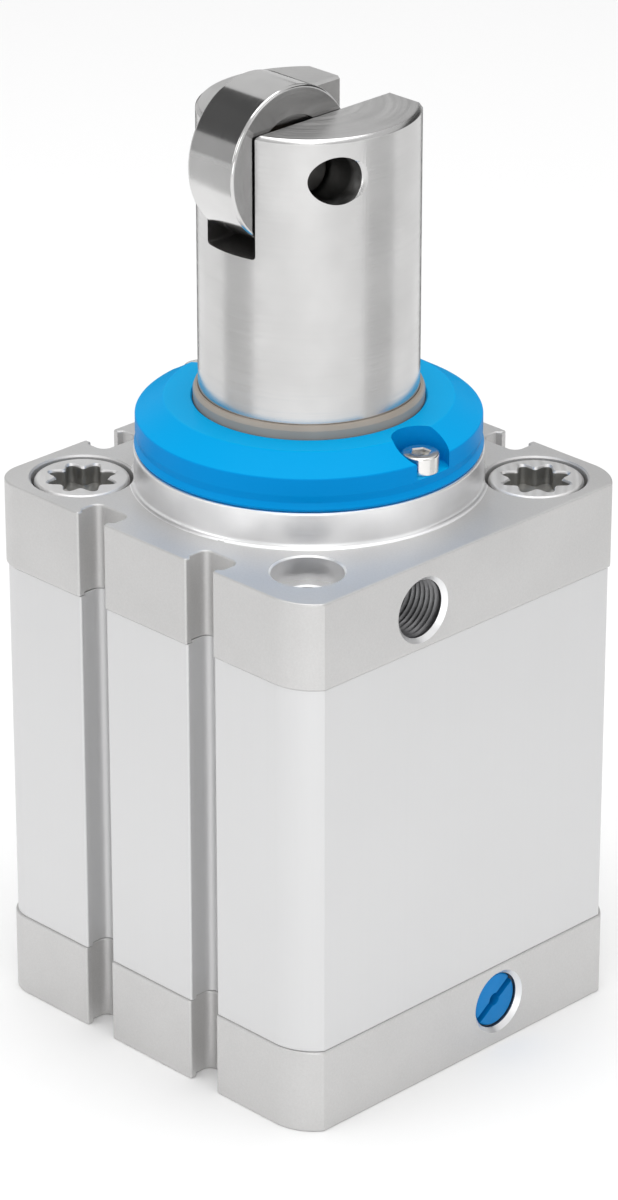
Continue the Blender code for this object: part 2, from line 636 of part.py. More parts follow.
def make_rod_wiper():
    groove_radius, groove_floor, groove_roof = WIPER_GROOVE
    neck = RING_MOUTH - 0.25
    profile = [
        (0, groove_floor + 0.2), (groove_radius - GAP, groove_floor + 0.2),
        (groove_radius - GAP, groove_roof - 0.2), (neck, groove_roof - 0.2), (neck, WIPER_LIP_TOP - 0.8),
        (neck - 0.15, WIPER_LIP_TOP), (0, WIPER_LIP_TOP)]
    piece = add_piece("rod_wiper", turned(profile), "grey_elastomer")
    hole = prism(d_outline(ROD_RADIUS + 0.2, GUIDE_FLAT_Y), groove_floor - 1, WIPER_LIP_TOP + 1)
    apply_tool(piece, hole, "rod_hole")


def make_piston_rod():
    chamfer = 0.5
    groove_low = 49.0
    groove_high = 51.2
    groove_radius = 7.4
    profile = [
        (0, ROD_SPIGOT_BOTTOM), (ROD_SPIGOT_RADIUS, ROD_SPIGOT_BOTTOM), (ROD_SPIGOT_RADIUS, groove_low),
        (groove_radius, groove_low), (groove_radius, groove_high), (ROD_SPIGOT_RADIUS, groove_high),
        (ROD_SPIGOT_RADIUS, ROD_SHOULDER), (ROD_RADIUS - 1, ROD_SHOULDER), (ROD_RADIUS, ROD_SHOULDER + 1),
        (ROD_RADIUS, ROD_TOP - chamfer), (ROD_RADIUS - chamfer, ROD_TOP), (0, ROD_TOP)]
    rod = add_piece("piston_rod", turned(profile), "ground_steel")
    wide = ROD_RADIUS + 2
    apply_tool(rod, box((-wide, ROD_FLAT_Y, ROD_FLAT_BOTTOM), (wide, wide, ROD_TOP + 1)), "anti_turn_flat")
    fork = box((-FORK_HALF_GAP, -wide, FORK_FLOOR), (FORK_HALF_GAP, wide, ROD_TOP + 1))
    apply_tool(rod, fork, "fork_slot")
    axle_hole = moved(along_x(cylinder(AXLE_HOLE_RADIUS, -wide, wide, SMALL_SIDES)), 0, ROLLER_Y, ROLLER_Z)
    apply_tool(rod, axle_hole, "axle_hole")
    thread = cylinder(ROD_THREAD_RADIUS, ROD_SPIGOT_BOTTOM - 1, ROD_THREAD_TOP, SMALL_SIDES)
    apply_tool(rod, thread, "tapped_hole")
    o_ring = torus(groove_radius + 0.1 + 0.75, 0.75, (groove_low + groove_high) / 2)
    add_piece("rod_o_ring", o_ring, "black_rubber")


def make_piston():
    seal_low = (44.0, 46.7)
    magnet = (47.5, 50.4)
    seal_high = (51.2, 53.8)
    profile = [(PISTON_BORE, WASHER_POCKET_TOP), (WASHER_POCKET_RADIUS, WASHER_POCKET_TOP),
               (WASHER_POCKET_RADIUS, PISTON_BOTTOM), (PISTON_RADIUS, PISTON_BOTTOM)]
    grooves = (
        (seal_low, SEAL_GROOVE_RADIUS), (magnet, MAGNET_GROOVE_RADIUS), (seal_high, SEAL_GROOVE_RADIUS))
    for (low, high), radius in grooves:
        profile += [(PISTON_RADIUS, low), (radius, low), (radius, high), (PISTON_RADIUS, high)]
    profile += [(PISTON_RADIUS, PISTON_TOP), (PISTON_BORE, PISTON_TOP)]
    add_piece("piston", turned(profile), "blasted_aluminium")
    for name, (low, high), lip in (("piston_seal_rear", seal_low, -1), ("piston_seal_front", seal_high, 1)):
        add_piece(name, turned(lip_seal(low + GAP, high - GAP, lip), INNER_SIDES), "black_rubber")
    magnet_outer = 22.6
    low = magnet[0] + GAP
    high = magnet[1] - GAP
    magnet_ring = ring(MAGNET_GROOVE_RADIUS + GAP, magnet_outer, low, high, INNER_SIDES)
    add_piece("piston_magnet", magnet_ring, "magnet")
    band = ring(magnet_outer + GAP, BORE_RADIUS - 0.25, low, high, INNER_SIDES)
    add_piece("piston_wear_ring", band, "white_polymer")


def lip_seal(low, high, lip):
    """Section of a piston seal whose outer lip points to the side that is pressurised."""
    inner = SEAL_GROOVE_RADIUS + GAP
    outer = BORE_RADIUS - 0.2
    points = [
        (inner, low), (outer - 0.5, low), (outer - 0.4, high - 0.8), (outer, high - 0.5),
        (outer - 0.1, high), (inner + 1.6, high), (inner + 1.2, high - 0.7), (inner + 0.8, high),
        (inner, high)]
    if lip < 0:
        points = [(radius, low + high - z) for radius, z in points]
    return points


def make_piston_screw():
    washer_low = PISTON_BOTTOM + GAP
    washer_high = WASHER_POCKET_TOP - GAP
    washer = ring(5.2, WASHER_POCKET_RADIUS - GAP, washer_low, washer_high, SMALL_SIDES + 4)
    add_piece("piston_washer", washer, "plated_steel")
    head_top = washer_low - GAP
    head_bottom = head_top - 5.0
    shank = ROD_THREAD_RADIUS - GAP
    profile = [
        (0, head_bottom), (7.5, head_bottom), (8.0, head_bottom + 0.5), (8.0, head_top), (shank, head_top),
        (shank, ROD_THREAD_TOP - 3), (shank - 0.8, ROD_THREAD_TOP - 2.2), (0, ROD_THREAD_TOP - 2.2)]
    screw = add_piece("piston_screw", turned(profile, SMALL_SIDES + 4), "plated_steel")
    apply_tool(screw, cylinder(4.6, head_bottom - 1, head_bottom + 3.6, 6), "socket")


def make_roller():
    """Roller, bush and axle, turned about the empty that stands on the roller's axis."""
    axis = bpy.data.objects.new("roller_axis", None)
    bpy.context.collection.objects.link(axis)
    axis.location = (0, ROLLER_Y * MM, ROLLER_Z * MM)
    axis.rotation_euler = (0, math.pi / 2, 0)
    half = ROLLER_HALF_WIDTH
    edge = ROLLER_RADIUS - ROLLER_CHAMFER
    recess = ROLLER_BORE + 2.2
    profile = [
        (ROLLER_BORE, -half + 0.4), (recess, -half + 0.4), (recess, -half), (edge, -half),
        (ROLLER_RADIUS, -half + ROLLER_CHAMFER), (ROLLER_RADIUS, half - ROLLER_CHAMFER), (edge, half),
        (recess, half), (recess, half - 0.4), (ROLLER_BORE, half - 0.4)]
    add_piece("roller", turned(profile), "polished_steel", axis)
    bush = ring(BUSH_BORE, ROLLER_BORE - 0.15, -half + 0.4, half - 0.4, SMALL_SIDES + 4)
    add_piece("roller_bush", bush, "bronze", axis)
    end = AXLE_HALF_LENGTH
    axle = [
        (0, -end), (AXLE_RADIUS - 0.5, -end), (AXLE_RADIUS, -end + 0.5), (AXLE_RADIUS, end - 0.5),
        (AXLE_RADIUS - 0.5, end), (0, end)]
    add_piece("roller_axle", turned(axle, SMALL_SIDES + 4), "plated_steel", axis)


def main():
    clear_scene()
    make_barrel()
    make_bearing_cap()
    make_end_cap()
    make_cap_screws()
    make_bearing_parts()
    make_static_seals()
    make_bumpers()
    make_vent()
    make_return_spring()
    make_locating_ring()
    make_lock_screws()
    make_rod_wiper()
    make_piston_rod()
    make_piston()
    make_piston_screw()
    make_roller()
    bpy.context.view_layer.update()


main()
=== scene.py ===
"""Looks of the roller stopper cylinder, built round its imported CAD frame.

Sizes are in millimetres and are scaled to metres when a mesh is made. +Z runs up the piston rod
and +X is the port face. Places come from the CAD nodes' boxes. What a box doesn't say is named
here, or at the top of the function that makes the piece.
"""

import json
import math

import bmesh
import bpy
from mathutils import Matrix, Vector


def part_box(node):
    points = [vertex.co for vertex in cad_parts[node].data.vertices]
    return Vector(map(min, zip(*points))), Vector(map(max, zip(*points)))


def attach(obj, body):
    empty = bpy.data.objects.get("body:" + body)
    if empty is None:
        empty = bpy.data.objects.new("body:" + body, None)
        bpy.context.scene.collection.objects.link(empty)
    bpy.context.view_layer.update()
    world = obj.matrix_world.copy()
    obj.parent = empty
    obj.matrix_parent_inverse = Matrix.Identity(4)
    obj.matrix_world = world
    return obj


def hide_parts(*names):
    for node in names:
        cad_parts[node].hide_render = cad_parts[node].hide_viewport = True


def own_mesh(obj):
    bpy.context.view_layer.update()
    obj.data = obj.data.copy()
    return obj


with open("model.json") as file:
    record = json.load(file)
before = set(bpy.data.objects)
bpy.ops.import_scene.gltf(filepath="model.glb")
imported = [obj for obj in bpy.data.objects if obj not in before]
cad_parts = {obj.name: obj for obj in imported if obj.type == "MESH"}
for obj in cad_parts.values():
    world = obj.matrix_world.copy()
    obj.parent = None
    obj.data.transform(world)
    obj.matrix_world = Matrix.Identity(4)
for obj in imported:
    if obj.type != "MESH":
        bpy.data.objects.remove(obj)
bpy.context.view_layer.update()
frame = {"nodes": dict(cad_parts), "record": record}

MM = 0.001
DIAGONAL = math.pi / 4


def mm_box(node):
    low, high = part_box(node)
    return low / MM, high / MM


def lowest(node):
    return mm_box(node)[0]


def highest(node):
    return mm_box(node)[1]


def extent(node):
    low, high = mm_box(node)
    return high - low


def middle(node):
    low, high = mm_box(node)
    return (low + high) / 2


# body
CAP_HALF = highest("end_cap").x
BARREL_HALF = highest("barrel_profile").x
BARREL_BOTTOM = lowest("barrel_profile").z
BARREL_TOP = highest("barrel_profile").z
NECK_BOTTOM = lowest("bearing_cap").z
COLLAR_TOP = highest("bearing_cap").z
SPIGOT_TOP = highest("end_cap").z
HEAD_RECESS = 0.2       # the cap screws' heads lie this far below the body's ends
BODY_TOP = round(highest("bearing_cap_screw_1").z + HEAD_RECESS, 2)
CAD_GAP = 0.3           # gap that the solids keep where the real pieces touch
SEAM = 0.03             # gap that is left of it here
CUT_OVER = 1.0          # cutters run this far past the surface
CAP_JOINT_LOW = BARREL_BOTTOM - CAD_GAP
CAP_JOINT_HIGH = BARREL_TOP + CAD_GAP
CORNER_RADIUS = 5.0
PORT_CORNER_RADIUS = 8.0
PORT_SIDE_TRIM = 1.4
BORE_RADIUS = 25.0
COLLAR_RADIUS = 25.4
RIM_EDGE = 0.3          # broken edges of the caps
BARREL_EDGE = 0.08
SLOT_OFFSET = 11.2
SLOT_HALF_OPENING = 2.7
SLOT_HALF_WIDTH = 3.4
SLOT_LIP = 1.0
SLOT_LIP_SLOPE = 0.5
SLOT_DEPTH = 4.6
SLOT_FLOOR_RADIUS = 1.9
SLOT_EDGE = 0.35

# inside of the caps
SEAT_RADIUS = 24.7      # the caps' spigots in the bore
O_RING_GROOVE_RADIUS = 22.9
UPPER_O_RING_GROOVE = (65.6, 67.8)
LOWER_O_RING_GROOVE = (13.6, 15.8)
LOCK_GROOVE = (20.9, 23.9, 87.3)        # round recesses: inner radius, outer radius, floor
SPRING_POCKET = (0, 16.5, 6.0)
BUMPER_GROOVE = (17.8, 21.2, 14.2)

# corner holes and screws
SCREW_X = middle("bearing_cap_screw_1").x
SCREW_Y = middle("bearing_cap_screw_1").y
SCREW_PLACES = ((SCREW_X, SCREW_Y), (-SCREW_X, -SCREW_Y))
MOUNT_PLACES = ((-SCREW_X, SCREW_Y), (SCREW_X, -SCREW_Y))
HEAD_RADIUS = extent("bearing_cap_screw_1").x / 2
SCREW_LENGTH = extent("bearing_cap_screw_1").z
HEAD_HEIGHT = 4.9
HEAD_POCKET_RADIUS = 7.5
HEAD_POCKET_DEPTH = 5.4
SHANK_RADIUS = 3.7
SHANK_HOLE_RADIUS = SHANK_RADIUS + CAD_GAP
SOCKET_LOBES = 8
SOCKET_RADIUS = 5.2
SOCKET_WAIST = 3.7
SOCKET_DEPTH = 3.0
SOCKET_EDGE = 0.35
SOCKET_CONE = 1.0
MOUNT_HOLE_RADIUS = 3.3
MOUNT_COUNTERBORE_RADIUS = 5.2
MOUNT_COUNTERBORE_DEPTH = 3.7

# ports
UPPER_PORT = (-9.8, 76.7)
LOWER_PORT = (middle("vent_plug").y, middle("vent_plug").z)
PORT_RADIUS = 4.3
PORT_THREAD_RADIUS = 4.86
PORT_PITCH = 0.907
PORT_DEPTH = 8.4
PORT_DRILL_CONE = 1.2
PORT_RUNOUT = 1.0       # length below the thread
PORT_CHAMFER = 0.7

# rod and roller
ROD_RADIUS = highest("piston_rod").x
ROD_TOP = highest("piston_rod").z
ROD_BOTTOM = lowest("piston_rod").z
ROD_FLAT_Y = 10.9
ROD_FLAT_BOTTOM = 87.8
ROD_SHOULDER = 55.1
ROD_CHAMFER = 0.55
AXLE_HOLE_COUNTERSINK = 14.88    # where the countersink starts, along X
FORK_HALF_GAP = 4.8
FORK_FLOOR = 123.0
ROLLER_CENTRE = middle("roller")
ROLLER_RADIUS = extent("roller").z / 2
ROLLER_HALF = highest("roller").x
AXLE_RADIUS = 3.2
AXLE_HOLE_RADIUS = 3.5
AXLE_HALF = highest("roller_axle").x

# locating ring
RING_TOP = highest("locating_ring").z
RING_BOTTOM = lowest("locating_ring").z
RING_UNDERSIDE = COLLAR_TOP + SEAM
RING_LIP_RADIUS = highest("locating_ring").x
RING_RADIUS = 25.15
RING_RIM_TOP = 94.5
RING_FLAT_RADIUS = 21.0
RING_GROOVE_Z = 90.8
RING_GROOVE_DEPTH = 0.25
RING_HOLE = 16.3
RING_MOUTH = 16.85
GUIDE_BOTTOM = 88.1
GUIDE_FLAT_Y = 11.1
WIPER_GROOVE_RADIUS = 17.9
WIPER_GROOVE_FLOOR = 93.3
WIPER_GROOVE_ROOF = 96.1
LOCK_OFFSET = middle("ring_lock_screw_1").x
LOCK_POCKET_RADIUS = 4.15
LOCK_POCKET_FLOOR = 92.1
LOCK_HEAD_TOP = highest("ring_lock_screw_1").z
LOCK_HEAD_RADIUS = 2.75

# return spring
SPRING_RADIUS = 14.0
SPRING_TURNS = 5.5
SPRING_CLOSED_PITCH = 2.3
WIRE_RADIUS = 1.0

# shading
SMOOTH_ANGLE = math.radians(32)     # edges sharper than this stay creased
FINE_ARC = math.radians(22)         # step of an arc under a millimetre in radius
COARSE_ARC = math.radians(9)
LEAST_TURN = math.radians(12)       # flatter corners aren't rounded


# ---------------------------------------------------------------- shapes

def arc(centre, radius, start, end, steps):
    """Points on an arc, angles in degrees, both ends included."""
    points = []
    for step in range(steps + 1):
        angle = math.radians(start + (end - start) * step / steps)
        points.append((centre[0] + radius * math.cos(angle), centre[1] + radius * math.sin(angle)))
    return points


def rounded(points, radius):
    """Round an outline's corners. A point may carry its own radius as a third number."""
    result = []
    count = len(points)
    for index, point in enumerate(points):
        here = Vector(point[:2])
        size = point[2] if len(point) > 2 else radius
        back = Vector(points[index - 1][:2]) - here
        ahead = Vector(points[(index + 1) % count][:2]) - here
        turn = math.pi - back.angle(ahead)
        if size <= 0 or turn < LEAST_TURN:
            result.append(tuple(here))
            continue
        reach = size * math.tan(turn / 2)
        limit = 0.45 * min(back.length, ahead.length)
        if reach > limit:
            size *= limit / reach
            reach = limit
        start = here + back.normalized() * reach
        end = here + ahead.normalized() * reach
        inward = (back.normalized() + ahead.normalized()).normalized()
        centre = here + inward * (size / math.cos(turn / 2))
        steps = max(2, round(turn / (FINE_ARC if size < 1 else COARSE_ARC)))
        first = start - centre
        sweep = first.angle_signed(end - centre)
        for step in range(steps + 1):
            spin = Matrix.Rotation(-sweep * step / steps, 2)
            result.append(tuple(centre + spin @ first))
    return result


def bm_object(name, bm):
    bmesh.ops.recalc_face_normals(bm, faces=bm.faces)
    bmesh.ops.scale(bm, vec=(MM, MM, MM), verts=bm.verts)
    mesh = bpy.data.meshes.new(name)
    bm.to_mesh(mesh)
    bm.free()
    obj = bpy.data.objects.new(name, mesh)
    bpy.context.scene.collection.objects.link(obj)
    return obj


def lathe(profile, sides=128):
    """Body of revolution about Z from a closed list of (radius, z) points."""
    bm = bmesh.new()
    loops = []
    for radius, z in [point[:2] for point in profile]:
        if radius < 1e-6:
            loops.append([bm.verts.new((0, 0, z))])
            continue
        angles = [math.tau * k / sides for k in range(sides)]
        loops.append([
            bm.verts.new((radius * math.cos(angle), radius * math.sin(angle), z)) for angle in angles])
    for lower, upper in zip(loops, loops[1:] + loops[:1]):
        if len(lower) == 1 and len(upper) == 1:
            continue
        for k in range(sides):
            following = (k + 1) % sides
            if len(lower) == 1:
                bm.faces.new((lower[0], upper[following], upper[k]))
            elif len(upper) == 1:
                bm.faces.new((lower[k], lower[following], upper[0]))
            else:
                bm.faces.new((lower[k], lower[following], upper[following], upper[k]))
    return bm


def turned(profile, edge=0.2, sides=128):
    """Lathe with the profile's corners rounded; points on the axis stay sharp."""
    marked = [point if point[0] > 1e-6 else (point[0], point[1], 0) for point in profile]
    return lathe(rounded(marked, edge), sides)


def band(inner, outer, bottom, top):
    """Profile of a plain ring, or of a cylinder when the inner radius is zero."""
    return [(inner, bottom), (outer, bottom), (outer, top), (inner, top)]


def cylinder(radius, bottom, top, sides=96):
    return lathe(band(0, radius, bottom, top), sides)


def inset(outline, distance):
    """Move each corner of a counter-clockwise outline inwards, along its bisector."""
    moved_points = []
    count = len(outline)
    for index in range(count):
        here = Vector(outline[index])
        before = (here - Vector(outline[index - 1])).normalized()
        after = (Vector(outline[(index + 1) % count]) - here).normalized()
        normal_a = Vector((-before.y, before.x))
        normal_b = Vector((-after.y, after.x))
        bisector = (normal_a + normal_b).normalized()
        moved_points.append(tuple(here + bisector * distance / max(0.5, bisector.dot(normal_a))))
    return moved_points


def prism(outline, bottom, top, edge=0.0, steps=3):
    """Extruded outline; with an edge, both rims are rounded by that radius."""
    layers = []
    if edge:
        for step in range(steps + 1):
            angle = math.pi / 2 * step / steps
            layers.append((edge * (1 - math.sin(angle)), bottom + edge * (1 - math.cos(angle))))
        layers += [(distance, bottom + top - z) for distance, z in reversed(layers)]
    else:
        layers = [(0, bottom), (0, top)]
    bm = bmesh.new()
    loops = []
    for distance, z in layers:
        loop = inset(outline, distance) if distance > 1e-9 else outline
        loops.append([bm.verts.new((x, y, z)) for x, y in loop])
    count = len(outline)
    for lower, upper in zip(loops, loops[1:]):
        for k in range(count):
            following = (k + 1) % count
            bm.faces.new((lower[k], lower[following], upper[following], upper[k]))
    bm.faces.new(list(reversed(loops[0])))
    bm.faces.new(loops[-1])
    return bm


def box(low, high):
    return prism(band(low[0], high[0], low[1], high[1]), low[2], high[2])


def moved(bm, x=0.0, y=0.0, z=0.0):
    bmesh.ops.translate(bm, vec=(x, y, z), verts=bm.verts)
    return bm


def spun(bm, angle, axis):
    bmesh.ops.rotate(bm, cent=(0, 0, 0), matrix=Matrix.Rotation(angle, 3, axis), verts=bm.verts)
    return bm


def along_x(bm):
    return spun(bm, math.pi / 2, "Y")


def cut(bm):
    """A Boolean tool that is taken away."""
    return ("DIFFERENCE", bm)


def shape(name, bm, tools=()):
    """Object from a bmesh; each tool is (operation, bmesh) and is applied with a Boolean."""
    obj = bm_object(name, bm)
    helpers = []
    for number, (operation, tool_bm) in enumerate(tools):
        helper = bm_object(f"{name}_tool_{number}", tool_bm)
        modifier = obj.modifiers.new(f"tool_{number}", "BOOLEAN")
        modifier.operation = operation
        modifier.solver = "EXACT"
        modifier.object = helper
        helpers.append(helper)
    if helpers:
        graph = bpy.context.evaluated_depsgraph_get()
        baked = bpy.data.meshes.new_from_object(obj.evaluated_get(graph))
        obj.modifiers.clear()
        obj.data = baked
        obj.data.name = name
    for helper in helpers:
        bpy.data.objects.remove(helper, do_unlink=True)
    return obj


def finish_piece(obj, material, body, node):
    """Shading, material and body of a piece; the CAD node that it replaces is hidden."""
    obj.data.shade_smooth()
    obj.data.set_sharp_from_angle(angle=SMOOTH_ANGLE)
    weighted = obj.modifiers.new("flat_faces_stay_flat", "WEIGHTED_NORMAL")
    weighted.keep_sharp = True
    obj.data.materials.clear()
    obj.data.materials.append(material)
    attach(obj, body)
    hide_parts(node)


def paint_faces(obj, material, belongs):
    """Give a second material to the faces whose centre, in millimetres, and normal pass the test."""
    obj.data.materials.append(material)
    index = len(obj.data.materials) - 1
    for face in obj.data.polygons:
        if belongs(face.center / MM, face.normal):
            face.material_index = index


# ---------------------------------------------------------------- materials

def nodes_of(name):
    material = bpy.data.materials.new(name)
    material.use_nodes = True
    return material, material.node_tree, material.node_tree.nodes["Principled BSDF"]


def add_node(tree, kind, inputs=None, **settings):
    node = tree.nodes.new(kind)
    for key, value in settings.items():
        setattr(node, key, value)
    for key, value in (inputs or {}).items():
        socket = node.inputs[key]
        if isinstance(value, bpy.types.NodeSocket):
            tree.links.new(value, socket)
        else:
            socket.default_value = value
    return node


def math_node(tree, operation, first, second=0.0):
    return add_node(tree, "ShaderNodeMath", {0: first, 1: second}, operation=operation).outputs[0]


def span(tree, value, low, high, from_low=0.35, from_high=0.65):
    """Spread a noise value, which lies round a half, over a range."""
    node = add_node(tree, "ShaderNodeMapRange", {
        "Value": value, "From Min": from_low, "From Max": from_high, "To Min": low, "To Max": high})
    return node.outputs["Result"]


def place_mm(tree, centre=(0, 0, 0)):
    """The piece's own coordinates in millimetres, counted from a centre."""
    where = add_node(tree, "ShaderNodeTexCoord").outputs["Object"]
    mapping = add_node(tree, "ShaderNodeMapping", {
        "Vector": where, "Location": tuple(-c for c in centre), "Scale": (1 / MM,) * 3})
    return mapping.outputs["Vector"]


def stretched(tree, place, scale):
    return add_node(tree, "ShaderNodeVectorMath", {0: place, 1: scale}, operation="MULTIPLY").outputs[0]


def noise(tree, vector, scale=1.0, detail=2.0, roughness=0.5):
    node = add_node(tree, "ShaderNodeTexNoise", {
        "Vector": vector, "Scale": scale, "Detail": detail, "Roughness": roughness})
    return node.outputs["Fac"]


def round_place(tree, place, axis="Z"):
    """Place as (radius, height, angle) about an axis, for marks that run round a turned piece."""
    parts = add_node(tree, "ShaderNodeSeparateXYZ", {0: place}).outputs
    across = {"Z": ("X", "Y"), "X": ("Y", "Z")}[axis]
    first = parts[across[0]]
    second = parts[across[1]]
    squares = math_node(
        tree, "ADD", math_node(tree, "MULTIPLY", first, first), math_node(tree, "MULTIPLY", second, second))
    radius = math_node(tree, "SQRT", squares)
    angle = math_node(tree, "ARCTAN2", first, second)
    return add_node(tree, "ShaderNodeCombineXYZ", {0: radius, 1: parts[axis], 2: angle}).outputs[0]


def colours(tree, factor, dark, light):
    """Mix of two colours."""
    node = add_node(tree, "ShaderNodeMix", data_type="RGBA")
    tree.links.new(factor, node.inputs["Factor"])
    node.inputs["A"].default_value = (*dark, 1)
    node.inputs["B"].default_value = (*light, 1)
    return node.outputs["Result"]


def bump(tree, height, distance_mm, strength=1.0, normal=None):
    inputs = {"Height": height, "Distance": distance_mm * MM, "Strength": strength}
    if normal is not None:
        inputs["Normal"] = normal
    return add_node(tree, "ShaderNodeBump", inputs).outputs["Normal"]


def shade(colour, factor):
    return tuple(min(1.0, c * factor) for c in colour)


def uneven(tree, value, base, darkest, lightest):
    """The base colour, varied by a noise value between two shades of itself."""
    return colours(tree, span(tree, value, 0, 1), shade(base, darkest), shade(base, lightest))


def blended(tree, first, second, share):
    """Weighted sum of two noise values; the share is the first one's."""
    first_part = math_node(tree, "MULTIPLY", first, share)
    second_part = math_node(tree, "MULTIPLY", second, 1 - share)
    return math_node(tree, "ADD", first_part, second_part)


def connect(shader, **values):
    """Link values to the shader's inputs; an underscore stands for a space in the input's name."""
    for name, value in values.items():
        shader.id_data.links.new(value, shader.inputs[name.replace("_", " ")])


def anodised_profile():
    """Extruded and clear anodised: faint die lines along Z over a satin skin."""
    material, tree, shader = nodes_of("anodised_profile")
    place = place_mm(tree)
    lines = noise(tree, stretched(tree, place, (2.2, 2.2, 0.012)), 1.0, 3)
    cloud = noise(tree, place, 0.05, 2)
    grain = noise(tree, place, 6.0, 2)
    tint = blended(tree, lines, cloud, 0.6)
    skin = bump(tree, grain, 0.003, 0.4)
    connect(
        shader,
        Base_Color=uneven(tree, tint, (0.69, 0.69, 0.693), 0.985, 1.01),
        Roughness=span(tree, lines, 0.44, 0.50),
        Normal=bump(tree, lines, 0.003, 0.4, skin))
    shader.inputs["Metallic"].default_value = 0.7
    return material


def blasted_aluminium():
    """Fine blasted skin with a tight grain."""
    material, tree, shader = nodes_of("blasted_aluminium")
    place = place_mm(tree)
    grain = noise(tree, place, 3.2, 3, 0.6)
    fine = noise(tree, place, 9.0, 2)
    cloud = noise(tree, place, 0.07, 2)
    tint = blended(tree, grain, cloud, 0.5)
    connect(
        shader,
        Base_Color=uneven(tree, tint, (0.612, 0.607, 0.602), 0.95, 1.04),
        Roughness=span(tree, fine, 0.42, 0.52),
        Normal=bump(tree, grain, 0.014, 0.5))
    shader.inputs["Metallic"].default_value = 0.7
    return material


def turned_metal(name, base, roughness, marks, axis="Z", centre=(0, 0, 0), anisotropy=0.0, depth_mm=0.004):
    """Bright metal with fine tool marks that run round its axis."""
    material, tree, shader = nodes_of(name)
    place = round_place(tree, place_mm(tree, centre), axis)
    rings = noise(tree, stretched(tree, place, (marks, marks, 0.5)), 1.0, 3, 0.6)
    cloud = noise(tree, place_mm(tree), 0.12, 3)
    connect(
        shader,
        Base_Color=uneven(tree, cloud, base, 0.94, 1.03),
        Roughness=span(tree, rings, roughness * 0.8, roughness * 1.2),
        Normal=bump(tree, rings, depth_mm, 0.4))
    shader.inputs["Metallic"].default_value = 1.0
    if anisotropy:
        shader.inputs["Anisotropic"].default_value = anisotropy
        tangent = add_node(tree, "ShaderNodeTangent", direction_type="RADIAL", axis=axis)
        connect(shader, Tangent=tangent.outputs[0])
    return material


def axle_hole_painted_light():
    """Wall of the axle hole, with painted light: a painted highlight near the rod's skin and painted shade
    further in.
    """
    hole_painted_shade = (0.13, 0.128, 0.125)
    bright = (0.4, 0.396, 0.39)
    material, tree, shader = nodes_of("axle_hole_painted_light")
    place = round_place(tree, place_mm(tree))
    from_axis = add_node(tree, "ShaderNodeSeparateXYZ", {0: place}).outputs["X"]
    # painted highlight near the hole's mouth, painted shade deeper in the hole
    mouth = span(tree, from_axis, 0, 1, ROD_RADIUS - 2.6, ROD_RADIUS - 1.8)
    marks = noise(tree, stretched(tree, place_mm(tree), (3.0, 0.6, 0.6)), 1.0, 3)
    connect(
        shader,
        Base_Color=colours(tree, mouth, hole_painted_shade, bright),
        Roughness=span(tree, marks, 0.30, 0.45),
        Normal=bump(tree, marks, 0.004, 0.4))
    shader.inputs["Metallic"].default_value = 1.0
    return material


def plastic(name, base, roughness, specular=0.35):
    """Moulded or turned plastic: a fine skin and a little uneven colour."""
    material, tree, shader = nodes_of(name)
    place = place_mm(tree)
    grain = noise(tree, place, 4.0, 2)
    cloud = noise(tree, place, 0.15, 2)
    connect(
        shader,
        Base_Color=uneven(tree, cloud, base, 0.95, 1.04),
        Roughness=span(tree, grain, roughness * 0.88, roughness * 1.12),
        Normal=bump(tree, grain, 0.01, 0.35))
    shader.inputs["Specular IOR Level"].default_value = specular
    return material


def ring_plastic():
    """Blue polymer with painted light: a lighter blue on faces turned up and a deeper blue on the upright
    rim, painted as light from above and shade at the side.
    """
    shaded_rim_blue = (0.0, 0.25, 0.63)
    lit_top_blue = (0.0, 0.385, 0.77)
    material = plastic("blue_ring_polymer", shaded_rim_blue, 0.38, 0.04)
    tree = material.node_tree
    normal = add_node(tree, "ShaderNodeNewGeometry").outputs["Normal"]
    upward = span(tree, add_node(tree, "ShaderNodeSeparateXYZ", {0: normal}).outputs["Z"], 0, 1, 0, 1)
    # painted light: the share of the lighter blue grows as a face turns up
    blue = colours(tree, math_node(tree, "POWER", upward, 2.5), shaded_rim_blue, lit_top_blue)
    connect(tree.nodes["Principled BSDF"], Base_Color=blue)
    return material


# one look for each material slot of the part
MATERIALS = {
    "barrel": anodised_profile(),
    "caps": blasted_aluminium(),
    "rod_steel": turned_metal(
        "ground_rod_steel", (0.605, 0.601, 0.597), 0.22, 3.0, anisotropy=0.4, depth_mm=0.001),
    "roller_steel": turned_metal(
        "polished_roller_steel", (0.66, 0.656, 0.652), 0.13, 4.0, "X", tuple(ROLLER_CENTRE), depth_mm=0.001),
    "plated_steel": turned_metal("plated_fasteners", (0.82, 0.81, 0.79), 0.22, 3.0),
    # painted light: the ring's blue is lit on upward faces and shaded on the upright rim
    "ring_polymer": ring_plastic(),
    "vent_polymer": plastic("blue_vent_polymer", (0.0, 0.20, 0.54), 0.4, 0.2),
    "wiper_elastomer": plastic("wiper_polyurethane", (0.34, 0.295, 0.25), 0.36, 0.5),
    "seal_rubber": plastic("nitrile_rubber", (0.03, 0.03, 0.03), 0.6),
    "bearing_bronze": turned_metal("sintered_bronze", (0.60, 0.40, 0.20), 0.4, 2.0),
    "guide_polymer": plastic("natural_guide_polymer", (0.78, 0.78, 0.73), 0.45),
    "spring_steel": turned_metal("drawn_spring_steel", (0.50, 0.50, 0.51), 0.3, 3.0),
    "magnet": plastic("bonded_magnet", (0.08, 0.08, 0.085), 0.55),
}

